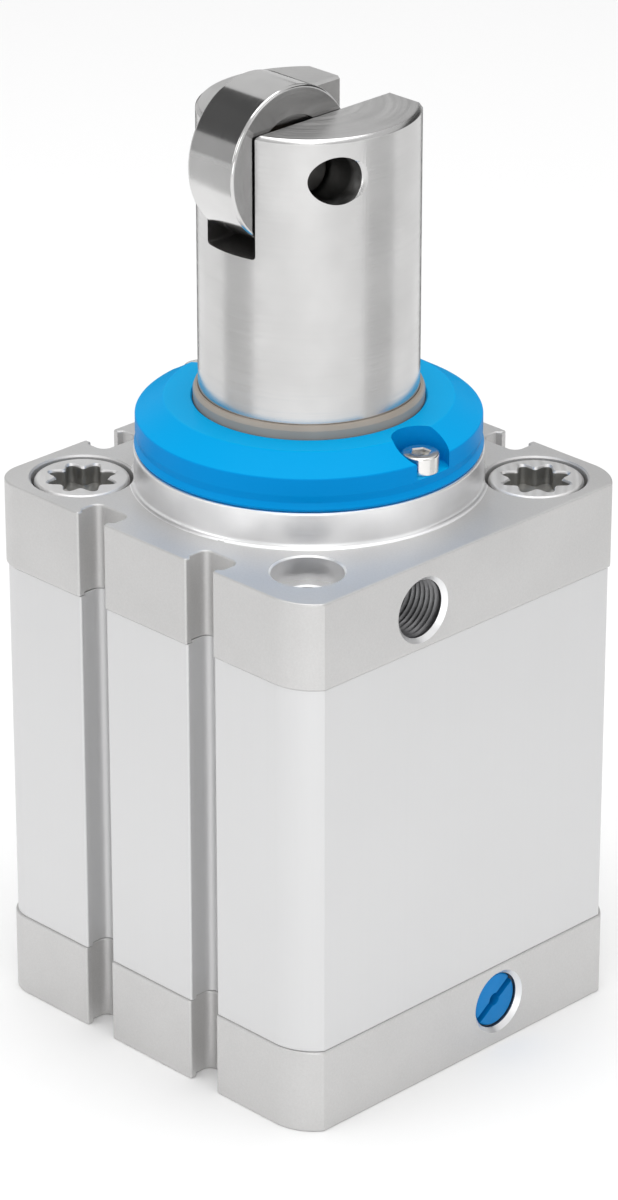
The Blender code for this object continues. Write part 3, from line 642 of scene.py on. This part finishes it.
# looks of single pieces and faces
CAP_SCREW_STEEL = turned_metal("cap_screws", (0.77, 0.765, 0.76), 0.5, 3.0)
TURNED_ALUMINIUM = turned_metal("turned_aluminium", (0.92, 0.92, 0.925), 0.40, 4.0, anisotropy=0.3)
# painted shade: the port's threaded wall gets a dark grey for the shade inside the port
PORT_THREAD_SHADE = turned_metal("port_thread_painted_shade", (0.22, 0.22, 0.225), 0.35, 3.0, "X")
# painted light: highlight at the axle hole's mouth, shade deeper in
AXLE_HOLE_PAINTED_LIGHT = axle_hole_painted_light()
# painted shade: the fork slot's walls and floor get a darker steel for the shade between the cheeks
FORK_SLOT_SHADE = turned_metal("fork_slot_painted_shade", (0.34, 0.335, 0.33), 0.35, 3.0)
MILLED_TOP = turned_metal("milled_fork_top", (0.63, 0.626, 0.622), 0.38, 2.0)
# painted shade: the roller's flat faces get a darker steel than its rim, for the shade beside the fork cheeks
ROLLER_FACE_SHADE = turned_metal("roller_face_painted_shade", (0.45, 0.447, 0.444), 0.2, 3.0, "X", tuple(ROLLER_CENTRE))
# painted shade: the axle pin gets a dark grey for the shade deep in the axle hole
SHADED_PIN = turned_metal("pin_painted_shade", (0.2, 0.197, 0.193), 0.35, 3.0, "X", tuple(ROLLER_CENTRE))
# painted shade: the socket's walls and floor get a darker steel than the head, for the shade in the recess
SOCKET_SHADE = turned_metal("socket_painted_shade", (0.42, 0.415, 0.40), 0.42, 2.0)


# ---------------------------------------------------------------- body

def slot_side(half):
    """One side with its two sensor slots, for the side that faces -Y, as corners with radii."""
    points = []
    floor = -half + SLOT_DEPTH
    for centre in (-SLOT_OFFSET, SLOT_OFFSET):
        for side in (-1, 1):
            wall = [
                (centre + side * SLOT_HALF_OPENING, -half, SLOT_EDGE),
                (centre + side * SLOT_HALF_OPENING, -half + SLOT_LIP, 0),
                (centre + side * SLOT_HALF_WIDTH, -half + SLOT_LIP + SLOT_LIP_SLOPE, 0),
                (centre + side * SLOT_HALF_WIDTH, floor, SLOT_FLOOR_RADIUS)]
            points += wall if side < 0 else reversed(wall)
    return points


def quarter_turned(points, turns):
    """Outline points turned about the origin by quarter turns, each with its radius."""
    result = []
    for point in points:
        x, y = point[:2]
        for _ in range(turns):
            x, y = -y, x
        result.append((x, y, *point[2:]))
    return result


def body_outline(half):
    """Square with slots on three sides; the corners beside +X are larger and end in a crease."""
    steps = 14
    inner = half - CORNER_RADIUS
    port_y = half - PORT_CORNER_RADIUS
    port_x = port_y + PORT_SIDE_TRIM
    crease = math.degrees(math.acos((half - port_x) / PORT_CORNER_RADIUS))

    def fixed(points):
        return [(x, y, 0) for x, y in points]

    corners = slot_side(half)
    corners += fixed(arc((port_x, -port_y), PORT_CORNER_RADIUS, -90, -crease, steps))
    corners += fixed(arc((port_x, port_y), PORT_CORNER_RADIUS, crease, 90, steps))
    corners += quarter_turned(slot_side(half), 2)
    corners += fixed(arc((-inner, inner), CORNER_RADIUS, 90, 180, steps))
    corners += quarter_turned(slot_side(half), 3)
    corners += fixed(arc((-inner, -inner), CORNER_RADIUS, 180, 270, steps))
    return rounded(corners, 0)


def corner_hole(radius, pocket_radius, pocket_depth):
    """Through hole with a pocket, outer face at z = 0; the mouth and the ledge are broken."""
    edge = 0.25
    through = -14
    return [
        (0, through), (radius, through), (radius, -pocket_depth - edge), (radius + edge, -pocket_depth),
        (pocket_radius, -pocket_depth), (pocket_radius, -edge),
        (pocket_radius + edge + CUT_OVER, CUT_OVER), (0, CUT_OVER)]


def corner_tools(outer_z, flip):
    """Cutters for a cap's four corner holes, two for the cap screws and two for mounting."""
    screw_hole = corner_hole(SHANK_HOLE_RADIUS, HEAD_POCKET_RADIUS, HEAD_POCKET_DEPTH)
    mount_hole = corner_hole(MOUNT_HOLE_RADIUS, MOUNT_COUNTERBORE_RADIUS, MOUNT_COUNTERBORE_DEPTH)
    tools = []
    for places, profile in ((SCREW_PLACES, screw_hole), (MOUNT_PLACES, mount_hole)):
        if flip:
            profile = [(r, -z) for r, z in profile]
        for x, y in places:
            tools.append(cut(moved(lathe(profile, 96), x, y, outer_z)))
    return tools


def port_tool(place):
    """Threaded port: chamfered mouth, then V-grooves of the thread's pitch."""
    y, z = place
    bottom = CAP_HALF - PORT_DEPTH
    chamfer_start = CAP_HALF - PORT_CHAMFER
    mouth_radius = PORT_RADIUS + PORT_CHAMFER
    over = 0.5
    start = bottom + PORT_RUNOUT
    turns = int((chamfer_start - start) / PORT_PITCH)
    profile = [(0, bottom - PORT_DRILL_CONE), (PORT_RADIUS, bottom)]
    for turn in range(turns):
        low = start + turn * PORT_PITCH
        profile += [
            (PORT_RADIUS, low), (PORT_THREAD_RADIUS, low + PORT_PITCH * 0.45),
            (PORT_THREAD_RADIUS, low + PORT_PITCH * 0.55)]
    profile += [
        (PORT_RADIUS, start + turns * PORT_PITCH), (PORT_RADIUS + 0.05, chamfer_start),
        (mouth_radius, CAP_HALF), (mouth_radius + over, CAP_HALF + over), (0, CAP_HALF + over)]
    return cut(moved(along_x(lathe(profile, 96)), 0, y, z))


def make_barrel():
    bottom = CAP_JOINT_LOW + SEAM
    top = CAP_JOINT_HIGH - SEAM
    reach = (bottom - CUT_OVER, top + CUT_OVER)
    tools = [cut(cylinder(BORE_RADIUS, *reach, 160))]
    for places, radius in ((SCREW_PLACES, SHANK_HOLE_RADIUS), (MOUNT_PLACES, MOUNT_HOLE_RADIUS)):
        for x, y in places:
            tools.append(cut(moved(cylinder(radius, *reach, 48), x, y)))
    barrel = shape("barrel", prism(body_outline(BARREL_HALF), bottom, top, BARREL_EDGE, 1), tools)
    finish_piece(barrel, MATERIALS["barrel"], "housing", "barrel_profile")


def paint_cap_holes(cap, port):
    """The port's thread and the counterbores are cut after blasting; the thread's wall gets a dark grey as
    painted shade inside the port.
    """
    chamfer_start = CAP_HALF - PORT_CHAMFER

    def from_port(at):
        return math.hypot(at.y - port[0], at.z - port[1])

    def from_mount_hole(at):
        return min(math.hypot(at.x - x, at.y - y) for x, y in MOUNT_PLACES)

    # painted shade: dark grey on the port's threaded wall
    paint_faces(cap, PORT_THREAD_SHADE, lambda at, normal: (
        CAP_HALF - PORT_DEPTH - 2 < at.x < chamfer_start and from_port(at) < PORT_THREAD_RADIUS + 0.1))
    paint_faces(cap, TURNED_ALUMINIUM, lambda at, normal: (
        chamfer_start < at.x < CAP_HALF - 0.05 and from_port(at) < PORT_RADIUS + PORT_CHAMFER))
    paint_faces(cap, TURNED_ALUMINIUM, lambda at, normal: (
        abs(normal.z) < 0.99 and from_mount_hole(at) < MOUNT_COUNTERBORE_RADIUS + 0.3))


def bearing_cap_core():
    """Spigot with its O-ring groove, and the collar with a fillet at its foot."""
    neck_radius = 24.0
    seat_bottom = 64.7
    groove_bottom, groove_top = UPPER_O_RING_GROOVE
    fillet = 0.9
    foot_radius = COLLAR_RADIUS + 2 * fillet
    foot_bottom = BODY_TOP - 0.5
    foot_top = BODY_TOP - 0.02
    return turned([
        (0, NECK_BOTTOM), (neck_radius, NECK_BOTTOM, 0.3), (neck_radius, seat_bottom),
        (SEAT_RADIUS, seat_bottom + 0.3), (SEAT_RADIUS, groove_bottom), (O_RING_GROOVE_RADIUS, groove_bottom),
        (O_RING_GROOVE_RADIUS, groove_top), (SEAT_RADIUS, groove_top), (SEAT_RADIUS, foot_bottom),
        (foot_radius, foot_bottom), (foot_radius, foot_top), (COLLAR_RADIUS, foot_top, fillet),
        (COLLAR_RADIUS, COLLAR_TOP, 0.4), (0, COLLAR_TOP)], 0, 160)


def bearing_cap_bore():
    """Seal room, seat of the bushing, and the groove that the locating ring's bead turns in."""
    seal_room_radius = 19.6
    seal_room_top = 62.4
    bush_radius = 18.3
    bush_top = 84.2
    mouth_radius = 19.3
    bead_radius = 19.9
    bead_bottom = 85.1
    bead_top = 86.9
    bottom = NECK_BOTTOM - CUT_OVER
    top = COLLAR_TOP + CUT_OVER
    return lathe([
        (0, bottom), (seal_room_radius, bottom), (seal_room_radius, seal_room_top),
        (bush_radius, seal_room_top), (bush_radius, bush_top), (mouth_radius, bush_top),
        (mouth_radius, bead_bottom), (bead_radius, bead_bottom), (bead_radius, bead_top),
        (mouth_radius, bead_top), (mouth_radius, top), (0, top)], 128)


def make_bearing_cap():
    lock_groove = lathe(band(*LOCK_GROOVE, COLLAR_TOP + CUT_OVER), 128)
    tools = [("UNION", bearing_cap_core()), cut(bearing_cap_bore()), cut(lock_groove)]
    tools += corner_tools(BODY_TOP, flip=False)
    tools.append(port_tool(UPPER_PORT))
    outline = body_outline(CAP_HALF)
    cap = shape("bearing_cap_body", prism(outline, CAP_JOINT_HIGH, BODY_TOP, RIM_EDGE), tools)
    finish_piece(cap, MATERIALS["caps"], "housing", "bearing_cap")
    paint_faces(cap, TURNED_ALUMINIUM, lambda at, normal: (
        at.z > BODY_TOP + 0.02 and math.hypot(at.x, at.y) < COLLAR_RADIUS + 1.2))
    paint_cap_holes(cap, UPPER_PORT)


def make_end_cap():
    spigot_root = CAP_JOINT_LOW - 2
    groove_bottom, groove_top = LOWER_O_RING_GROOVE
    spigot = [
        (0, spigot_root), (SEAT_RADIUS, spigot_root), (SEAT_RADIUS, groove_bottom),
        (O_RING_GROOVE_RADIUS, groove_bottom), (O_RING_GROOVE_RADIUS, groove_top), (SEAT_RADIUS, groove_top),
        (SEAT_RADIUS, SPIGOT_TOP), (0, SPIGOT_TOP)]
    tools = [("UNION", lathe(spigot, 128))]
    for recess in (SPRING_POCKET, BUMPER_GROOVE):
        tools.append(cut(lathe(band(*recess, SPIGOT_TOP + CUT_OVER), 128)))
    tools += corner_tools(0, flip=True)
    tools.append(port_tool(LOWER_PORT))
    cap = shape("end_cap_body", prism(body_outline(CAP_HALF), 0, CAP_JOINT_LOW, RIM_EDGE), tools)
    finish_piece(cap, MATERIALS["caps"], "housing", "end_cap")
    paint_cap_holes(cap, LOWER_PORT)


def star_outline(grow, steps=120):
    """Lobed socket with a rib on the body's diagonal."""
    middle_radius = (SOCKET_RADIUS + SOCKET_WAIST) / 2 + grow
    swing = (SOCKET_RADIUS - SOCKET_WAIST) / 2
    points = []
    for step in range(steps):
        angle = math.tau * step / steps
        radius = middle_radius - swing * math.cos(SOCKET_LOBES * (angle - DIAGONAL))
        points.append((radius * math.cos(angle), radius * math.sin(angle)))
    return points


def star_tool(top):
    """Socket with a broken mouth and a coned floor."""
    bm = bmesh.new()
    floor = top - SOCKET_DEPTH
    layers = [(SOCKET_EDGE, top + 0.05), (0, top - SOCKET_EDGE), (0, floor)]
    loops = []
    for grow, z in layers:
        loops.append([bm.verts.new((x, y, z)) for x, y in star_outline(grow)])
    tip = bm.verts.new((0, 0, floor - SOCKET_CONE))
    count = len(loops[0])
    for k in range(count):
        following = (k + 1) % count
        for upper, lower in zip(loops, loops[1:]):
            bm.faces.new((upper[k], upper[following], lower[following], lower[k]))
        bm.faces.new((loops[-1][k], loops[-1][following], tip))
    bm.faces.new(loops[0])
    return cut(bm)


def make_cap_screws():
    """Flush screws, made with the cap's outer face at z = 0 and then set in both caps."""
    top = -HEAD_RECESS
    under_head = top - HEAD_HEIGHT
    end = top - SCREW_LENGTH
    end_chamfer = 0.7
    profile = [
        (0, end), (SHANK_RADIUS - end_chamfer, end), (SHANK_RADIUS, end + end_chamfer),
        (SHANK_RADIUS, under_head), (HEAD_RADIUS, under_head, 0.3), (HEAD_RADIUS, top, 0.55), (0, top)]
    socket_roof = top - 0.3
    socket_floor = top - SOCKET_DEPTH - SOCKET_CONE - 0.1
    for number, (x, y) in enumerate(SCREW_PLACES, start=1):
        for cap, outer_z, flip in (("bearing_cap", BODY_TOP, False), ("end_cap", 0, True)):
            screw = shape(f"{cap}_screw_{number}_body", turned(profile, 0.1, 96), [star_tool(top)])
            finish_piece(screw, CAP_SCREW_STEEL, "housing", f"{cap}_screw_{number}")
            # painted shade: darker steel on the socket's walls and floor
            paint_faces(screw, SOCKET_SHADE, lambda at, normal: (
                socket_floor < at.z < socket_roof and math.hypot(at.x, at.y) < SOCKET_RADIUS))
            turn = Matrix.Rotation(math.pi, 4, Vector((1, 1, 0))) if flip else Matrix.Identity(4)
            screw.data.transform(Matrix.Translation((x * MM, y * MM, outer_z * MM)) @ turn)


# ---------------------------------------------------------------- ring, rod and roller

def d_outline(radius, flat_y, steps=96):
    """Circle with a flat towards +Y."""
    start = math.degrees(math.asin(flat_y / radius))
    return arc((0, 0), radius, 180 - start, 360 + start, steps)


def make_locating_ring():
    spigot_radius = 19.0
    bead_radius = 19.6
    bead_low = 85.4
    profile = [
        (0, RING_BOTTOM), (spigot_radius, RING_BOTTOM), (spigot_radius, bead_low),
        (bead_radius, bead_low + 0.3), (bead_radius, bead_low + 0.9), (spigot_radius, bead_low + 1.2),
        (spigot_radius, RING_UNDERSIDE), (RING_LIP_RADIUS - 0.35, RING_UNDERSIDE, 0.25),
        (RING_LIP_RADIUS, RING_UNDERSIDE + 0.45, 0.2),
        (RING_RADIUS - RING_GROOVE_DEPTH, RING_GROOVE_Z, 0.3), (RING_RADIUS, RING_GROOVE_Z + 1.1, 0.3),
        (RING_RADIUS, RING_RIM_TOP, 0.35), (RING_FLAT_RADIUS, RING_TOP, 0.8), (0, RING_TOP)]
    mouth_edge = 0.25
    over = 0.5
    seat = [
        (0, WIPER_GROOVE_FLOOR), (WIPER_GROOVE_RADIUS, WIPER_GROOVE_FLOOR),
        (WIPER_GROOVE_RADIUS, WIPER_GROOVE_ROOF), (RING_MOUTH, WIPER_GROOVE_ROOF),
        (RING_MOUTH, RING_TOP - mouth_edge), (RING_MOUTH + mouth_edge + over, RING_TOP + over),
        (0, RING_TOP + over)]
    bottom = RING_BOTTOM - CUT_OVER
    top = RING_TOP + CUT_OVER
    tools = [
        cut(cylinder(RING_HOLE, bottom, GUIDE_BOTTOM, 128)),
        cut(prism(d_outline(RING_HOLE, GUIDE_FLAT_Y), GUIDE_BOTTOM - CUT_OVER, top)),
        cut(lathe(seat, 128))]
    shank_hole = 1.5
    pocket_bottom = RING_UNDERSIDE - CUT_OVER
    pocket = [
        (0, pocket_bottom), (shank_hole, pocket_bottom), (shank_hole, LOCK_POCKET_FLOOR),
        (LOCK_POCKET_RADIUS, LOCK_POCKET_FLOOR, 0.3), (LOCK_POCKET_RADIUS, top), (0, top)]
    for side in (1, -1):
        tools.append(cut(moved(turned(pocket, 0, 96), side * LOCK_OFFSET)))
    ring = shape("locating_ring_body", turned(profile, 0.15, 192), tools)
    finish_piece(ring, MATERIALS["ring_polymer"], "locating_ring", "locating_ring")


def make_lock_screws():
    end = lowest("ring_lock_screw_1").z
    shank_radius = 1.2
    end_chamfer = 0.3
    under_head = LOCK_POCKET_FLOOR + 0.02
    top = LOCK_HEAD_TOP
    profile = [
        (0, end), (shank_radius - end_chamfer, end), (shank_radius, end + end_chamfer),
        (shank_radius, under_head), (LOCK_HEAD_RADIUS, under_head), (LOCK_HEAD_RADIUS, top, 0.35), (0, top)]
    hexagon_radius = 1.4
    over = 0.15
    socket = [
        (0, top - 1.7), (hexagon_radius, top - 1.3), (hexagon_radius, top - 0.2),
        (hexagon_radius + 0.35, top + over), (0, top + over)]
    for number, side in enumerate((1, -1), start=1):
        screw = shape(f"lock_screw_{number}_body", turned(profile, 0.08, 64), [cut(lathe(socket, 6))])
        screw.data.transform(Matrix.Translation((side * LOCK_OFFSET * MM, 0, 0)))
        finish_piece(
            screw, MATERIALS["plated_steel"], "locating_ring", f"ring_lock_screw_{number}")


def make_wiper():
    gap = 0.1
    rod_gap = 0.06
    foot_radius = WIPER_GROOVE_RADIUS - gap
    foot_top = WIPER_GROOVE_ROOF - gap
    bottom = WIPER_GROOVE_FLOOR + gap
    neck = RING_MOUTH - gap
    top = highest("rod_wiper").z
    profile = [
        (0, bottom), (foot_radius, bottom, 0.3), (foot_radius, foot_top, 0.2), (neck, foot_top, 0.1),
        (neck, top - 0.7, 0.2), (neck - 0.3, top, 0.15), (0, top)]
    hole = d_outline(ROD_RADIUS + rod_gap, GUIDE_FLAT_Y - gap)
    cutter = prism(hole, WIPER_GROOVE_FLOOR - CUT_OVER, top + CUT_OVER)
    wiper = shape("wiper_body", turned(profile, 0.1, 160), [cut(cutter)])
    finish_piece(wiper, MATERIALS["wiper_elastomer"], "locating_ring", "rod_wiper")


def rod_blank():
    """Ground rod with the stem that carries the piston and an O-ring groove in that stem."""
    stem_radius = 9.0
    groove_radius = 7.4
    groove_bottom = 49.0
    groove_top = 51.2
    shoulder_chamfer = 1
    return turned([
        (0, ROD_BOTTOM), (stem_radius, ROD_BOTTOM), (stem_radius, groove_bottom),
        (groove_radius, groove_bottom), (groove_radius, groove_top), (stem_radius, groove_top),
        (stem_radius, ROD_SHOULDER),
        (ROD_RADIUS - shoulder_chamfer, ROD_SHOULDER), (ROD_RADIUS, ROD_SHOULDER + shoulder_chamfer),
        (ROD_RADIUS, ROD_TOP - ROD_CHAMFER), (ROD_RADIUS - ROD_CHAMFER, ROD_TOP), (0, ROD_TOP)], 0.1, 192)


def make_rod():
    wide = ROD_RADIUS + 2
    over = ROD_TOP + CUT_OVER
    half_gap = FORK_HALF_GAP
    edge = 0.35
    edge_start = ROD_TOP - edge
    half_mouth = half_gap + edge + CUT_OVER
    slot = [
        (-half_mouth, over), (-half_gap, edge_start), (-half_gap, FORK_FLOOR, 0.5),
        (half_gap, FORK_FLOOR, 0.5), (half_gap, edge_start), (half_mouth, over)]
    fork = spun(prism(rounded(slot, 0), -wide, wide), math.pi / 2, "X")
    centre_y, centre_z = ROLLER_CENTRE.y, ROLLER_CENTRE.z
    flare = AXLE_HOLE_RADIUS + wide - AXLE_HOLE_COUNTERSINK
    axle_hole = [
        (0, -wide), (flare, -wide), (AXLE_HOLE_RADIUS, -AXLE_HOLE_COUNTERSINK),
        (AXLE_HOLE_RADIUS, AXLE_HOLE_COUNTERSINK), (flare, wide), (0, wide)]
    screw_bore_radius = 5.0
    screw_bore_top = 64.0
    tools = [
        cut(box((-wide, ROD_FLAT_Y, ROD_FLAT_BOTTOM), (wide, wide, over))),
        cut(fork),
        cut(moved(along_x(lathe(axle_hole, 96)), 0, centre_y, centre_z)),
        cut(cylinder(screw_bore_radius, ROD_BOTTOM - CUT_OVER, screw_bore_top, 64))]
    rod = shape("rod_body", rod_blank(), tools)
    finish_piece(rod, MATERIALS["rod_steel"], "piston_rod", "piston_rod")
    # painted shade: darker steel on the fork slot's walls and floor
    paint_faces(rod, FORK_SLOT_SHADE, lambda at, normal: (
        abs(at.x) < half_gap + 0.01 and FORK_FLOOR - 0.1 < at.z < edge_start))
    paint_faces(rod, MILLED_TOP, lambda at, normal: at.z > ROD_TOP - 0.02)
    # painted highlight at the axle hole's mouth and painted shade deeper in the hole
    paint_faces(rod, AXLE_HOLE_PAINTED_LIGHT, lambda at, normal: (
        abs(at.x) > half_gap + 0.1 and at.z > FORK_FLOOR and abs(normal.x) < 0.1
        and math.hypot(at.y - centre_y, at.z - centre_z) < AXLE_HOLE_RADIUS + 0.05))


def at_roller(obj):
    """Turn a piece made about Z onto the roller's axis."""
    obj.data.transform(Matrix.Translation(ROLLER_CENTRE * MM) @ Matrix.Rotation(math.pi / 2, 4, "Y"))
    return obj


def make_roller():
    bore = 5.0
    recess = bore + 2.2
    half = ROLLER_HALF
    inner_half = half - 0.4
    profile = [
        (bore, -inner_half), (recess, -inner_half), (recess, -half), (ROLLER_RADIUS, -half, 0.45),
        (ROLLER_RADIUS, half, 0.45), (recess, half), (recess, inner_half), (bore, inner_half)]
    roller = at_roller(shape("roller_body", turned(profile, 0.08, 160)))
    finish_piece(roller, MATERIALS["roller_steel"], "roller", "roller")
    # painted shade: darker steel on the roller's flat faces
    paint_faces(roller, ROLLER_FACE_SHADE, lambda at, normal: abs(normal.x) > 0.99)
    bush = band(AXLE_RADIUS + 0.15, bore - 0.05, -inner_half, inner_half)
    sleeve = at_roller(shape("roller_bush_body", turned(bush, 0.15, 96)))
    finish_piece(sleeve, MATERIALS["bearing_bronze"], "roller", "roller_bush")
    pin = [(0, -AXLE_HALF), (AXLE_RADIUS, -AXLE_HALF, 0.5), (AXLE_RADIUS, AXLE_HALF, 0.5), (0, AXLE_HALF)]
    axle = at_roller(shape("roller_axle_body", turned(pin, 0, 96)))
    # painted shade: the axle pin is given a dark grey
    finish_piece(axle, SHADED_PIN, "piston_rod", "roller_axle")


def make_vent():
    y, z = LOWER_PORT
    hole_radius = 1.0
    radius = PORT_RADIUS - 0.12
    inner_face = CAP_HALF - 5.6
    outer_face = CAP_HALF - 0.9
    slot_floor = CAP_HALF - 2.2
    slot_half = 0.6
    slot_reach = radius + CUT_OVER
    slot_turn = math.radians(35)
    profile = [
        (hole_radius, inner_face), (radius, inner_face), (radius, outer_face, 0.35),
        (hole_radius, outer_face)]
    slot = box((slot_floor, -slot_reach, -slot_half), (CAP_HALF, slot_reach, slot_half))
    plug = shape("vent_insert", along_x(turned(profile, 0.1, 96)), [cut(spun(slot, slot_turn, "X"))])
    plug.data.transform(Matrix.Translation((0, y * MM, z * MM)))
    finish_piece(plug, MATERIALS["vent_polymer"], "housing", "vent_plug")


def make_spring():
    """Helix with one closed turn at each end, built at one length; the real spring shortens with the stroke.
    """
    low, high = mm_box("return_spring")
    bottom = low.z + WIRE_RADIUS
    top = high.z - WIRE_RADIUS
    open_pitch = (top - bottom - 2 * SPRING_CLOSED_PITCH) / (SPRING_TURNS - 2)
    section = arc((0, 0), WIRE_RADIUS, 0, 337.5, 15)
    steps_per_turn = 40
    count = round(SPRING_TURNS * steps_per_turn)
    bm = bmesh.new()
    loops = []
    for index in range(count + 1):
        turns = SPRING_TURNS * index / count
        rise = min(turns, 1) + max(0, turns - SPRING_TURNS + 1)
        height = bottom + SPRING_CLOSED_PITCH * rise + open_pitch * (turns - rise)
        angle = math.tau * turns
        outward = Vector((math.cos(angle), math.sin(angle), 0))
        loops.append([
            bm.verts.new(outward * (SPRING_RADIUS + r) + Vector((0, 0, height + z))) for r, z in section])
    for lower, upper in zip(loops, loops[1:]):
        for k in range(len(lower)):
            following = (k + 1) % len(lower)
            bm.faces.new((lower[k], lower[following], upper[following], upper[k]))
    bm.faces.new(loops[0])
    bm.faces.new(loops[-1])
    spring = shape("spring_wire", bm)
    finish_piece(spring, MATERIALS["spring_steel"], "housing", "return_spring")
    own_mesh(spring)


# ---------------------------------------------------------------- stage

def sheet(name, corners, grey, roughness, specular=0.5):
    """Four-cornered stage piece in one grey, sizes in metres."""
    mesh = bpy.data.meshes.new(name)
    mesh.from_pydata(corners, [], [(0, 1, 2, 3)])
    obj = bpy.data.objects.new(name, mesh)
    bpy.context.scene.collection.objects.link(obj)
    material, _, shader = nodes_of(name)
    shader.inputs["Base Color"].default_value = (grey, grey, grey, 1)
    shader.inputs["Roughness"].default_value = roughness
    shader.inputs["Specular IOR Level"].default_value = specular
    mesh.materials.append(material)
    return obj


def make_floor():
    size = 3.0
    corners = [(x, y, 0) for x, y in band(-size, size, -size, size)]
    sheet("floor", corners, 0.95, 0.8, 0.1)


def area_light(name, place, target, size, power, height=None):
    data = bpy.data.lights.new(name, "AREA")
    data.energy = power
    data.shape = "RECTANGLE"
    data.size = size
    data.size_y = height or size
    light = bpy.data.objects.new(name, data)
    light.location = place
    aim = Vector(target) - Vector(place)
    light.rotation_euler = aim.to_track_quat("-Z", "Y").to_euler()
    bpy.context.scene.collection.objects.link(light)


def make_world():
    world = bpy.data.worlds.new("studio")
    world.use_nodes = True
    background = world.node_tree.nodes["Background"]
    background.inputs["Color"].default_value = (1, 1, 1, 1)
    background.inputs["Strength"].default_value = 0.72
    bpy.context.scene.world = world


def make_camera():
    """Long lens in front of the +X -Y corner, looking down on the cylinder."""
    away = 0.6723
    azimuth = math.radians(45.335)
    height = 0.3784
    tilt = math.radians(25.05)
    data = bpy.data.cameras.new("camera")
    data.lens = 151.7
    data.sensor_width = 36
    data.clip_start = 0.01
    data.clip_end = 20
    camera = bpy.data.objects.new("camera", data)
    camera.location = (away * math.sin(azimuth), -away * math.cos(azimuth), height)
    camera.rotation_euler = (math.pi / 2 - tilt, 0, azimuth)
    bpy.context.scene.collection.objects.link(camera)
    bpy.context.scene.camera = camera


def reflection_card(name, azimuth, distance, width, bottom, top, grey):
    """Upright card that only reflections see; it draws a band on the bright metal."""
    around = math.radians(azimuth)
    outward = Vector((math.cos(around), math.sin(around), 0))
    across = Vector((-outward.y, outward.x, 0)) * width / 2
    corners = [
        outward * distance + side * across + Vector((0, 0, height))
        for side, height in ((-1, top), (1, top), (1, bottom), (-1, bottom))]
    card = sheet(name, corners, grey, 0.9)
    for kind in ("camera", "diffuse", "transmission", "volume_scatter", "shadow"):
        setattr(card, f"visible_{kind}", False)


def make_lights():
    """Soft lights, then the cards by azimuth, distance, width, bottom, top and grey."""
    area_light("overhead", (0.0, 0.0, 0.9), (0, 0, 0.08), 0.7, 3.5)
    area_light("front_left", (-0.35, -0.9, 0.5), (0, 0, 0.06), 0.5, 1.1)
    area_light("front_right", (0.9, 0.3, 0.5), (0, 0, 0.06), 0.5, 0.45)
    area_light("front_floor", (0.4, -0.4, 0.35), (0.2, -0.2, 0), 0.25, 0.35)
    area_light("front_low", (0.42, -0.42, 0.1), (0, 0, 0.05), 0.3, 0.22, 0.12)
    reflection_card("left_card", 200, 0.6, 0.84, 0.38, 0.95, 0.07)
    reflection_card("left_low_card", 228, 0.6, 0.36, 0.14, 0.36, 0.4)
    reflection_card("right_card", 75, 0.6, 0.85, 0.2, 0.47, 0.04)
    reflection_card("fork_top_card", 117, 0.62, 0.36, 0.24, 0.62, 0.2)
    reflection_card("back_card", 135, 0.2, 0.19, 0.0, 0.12, 0.04)
    reflection_card("rod_left_card", 240, 0.2, 0.13, 0.0, 0.12, 0.7)
    reflection_card("rod_right_card", 30, 0.2, 0.13, 0.0, 0.12, 0.7)


make_camera()
make_world()
make_floor()
make_lights()
make_barrel()
make_bearing_cap()
make_end_cap()
make_cap_screws()
make_locating_ring()
make_lock_screws()
make_wiper()
make_rod()
make_roller()
make_vent()
make_spring()

for node, obj in frame["nodes"].items():
    if obj.hide_render:
        continue
    slot_name = next(s["material_slot"] for s in frame["record"]["subparts"] if s["node"] == node)
    obj.data.materials.clear()
    obj.data.materials.append(MATERIALS[slot_name])

view = bpy.context.scene.view_settings
view.view_transform = "Standard"
view.look = "None"
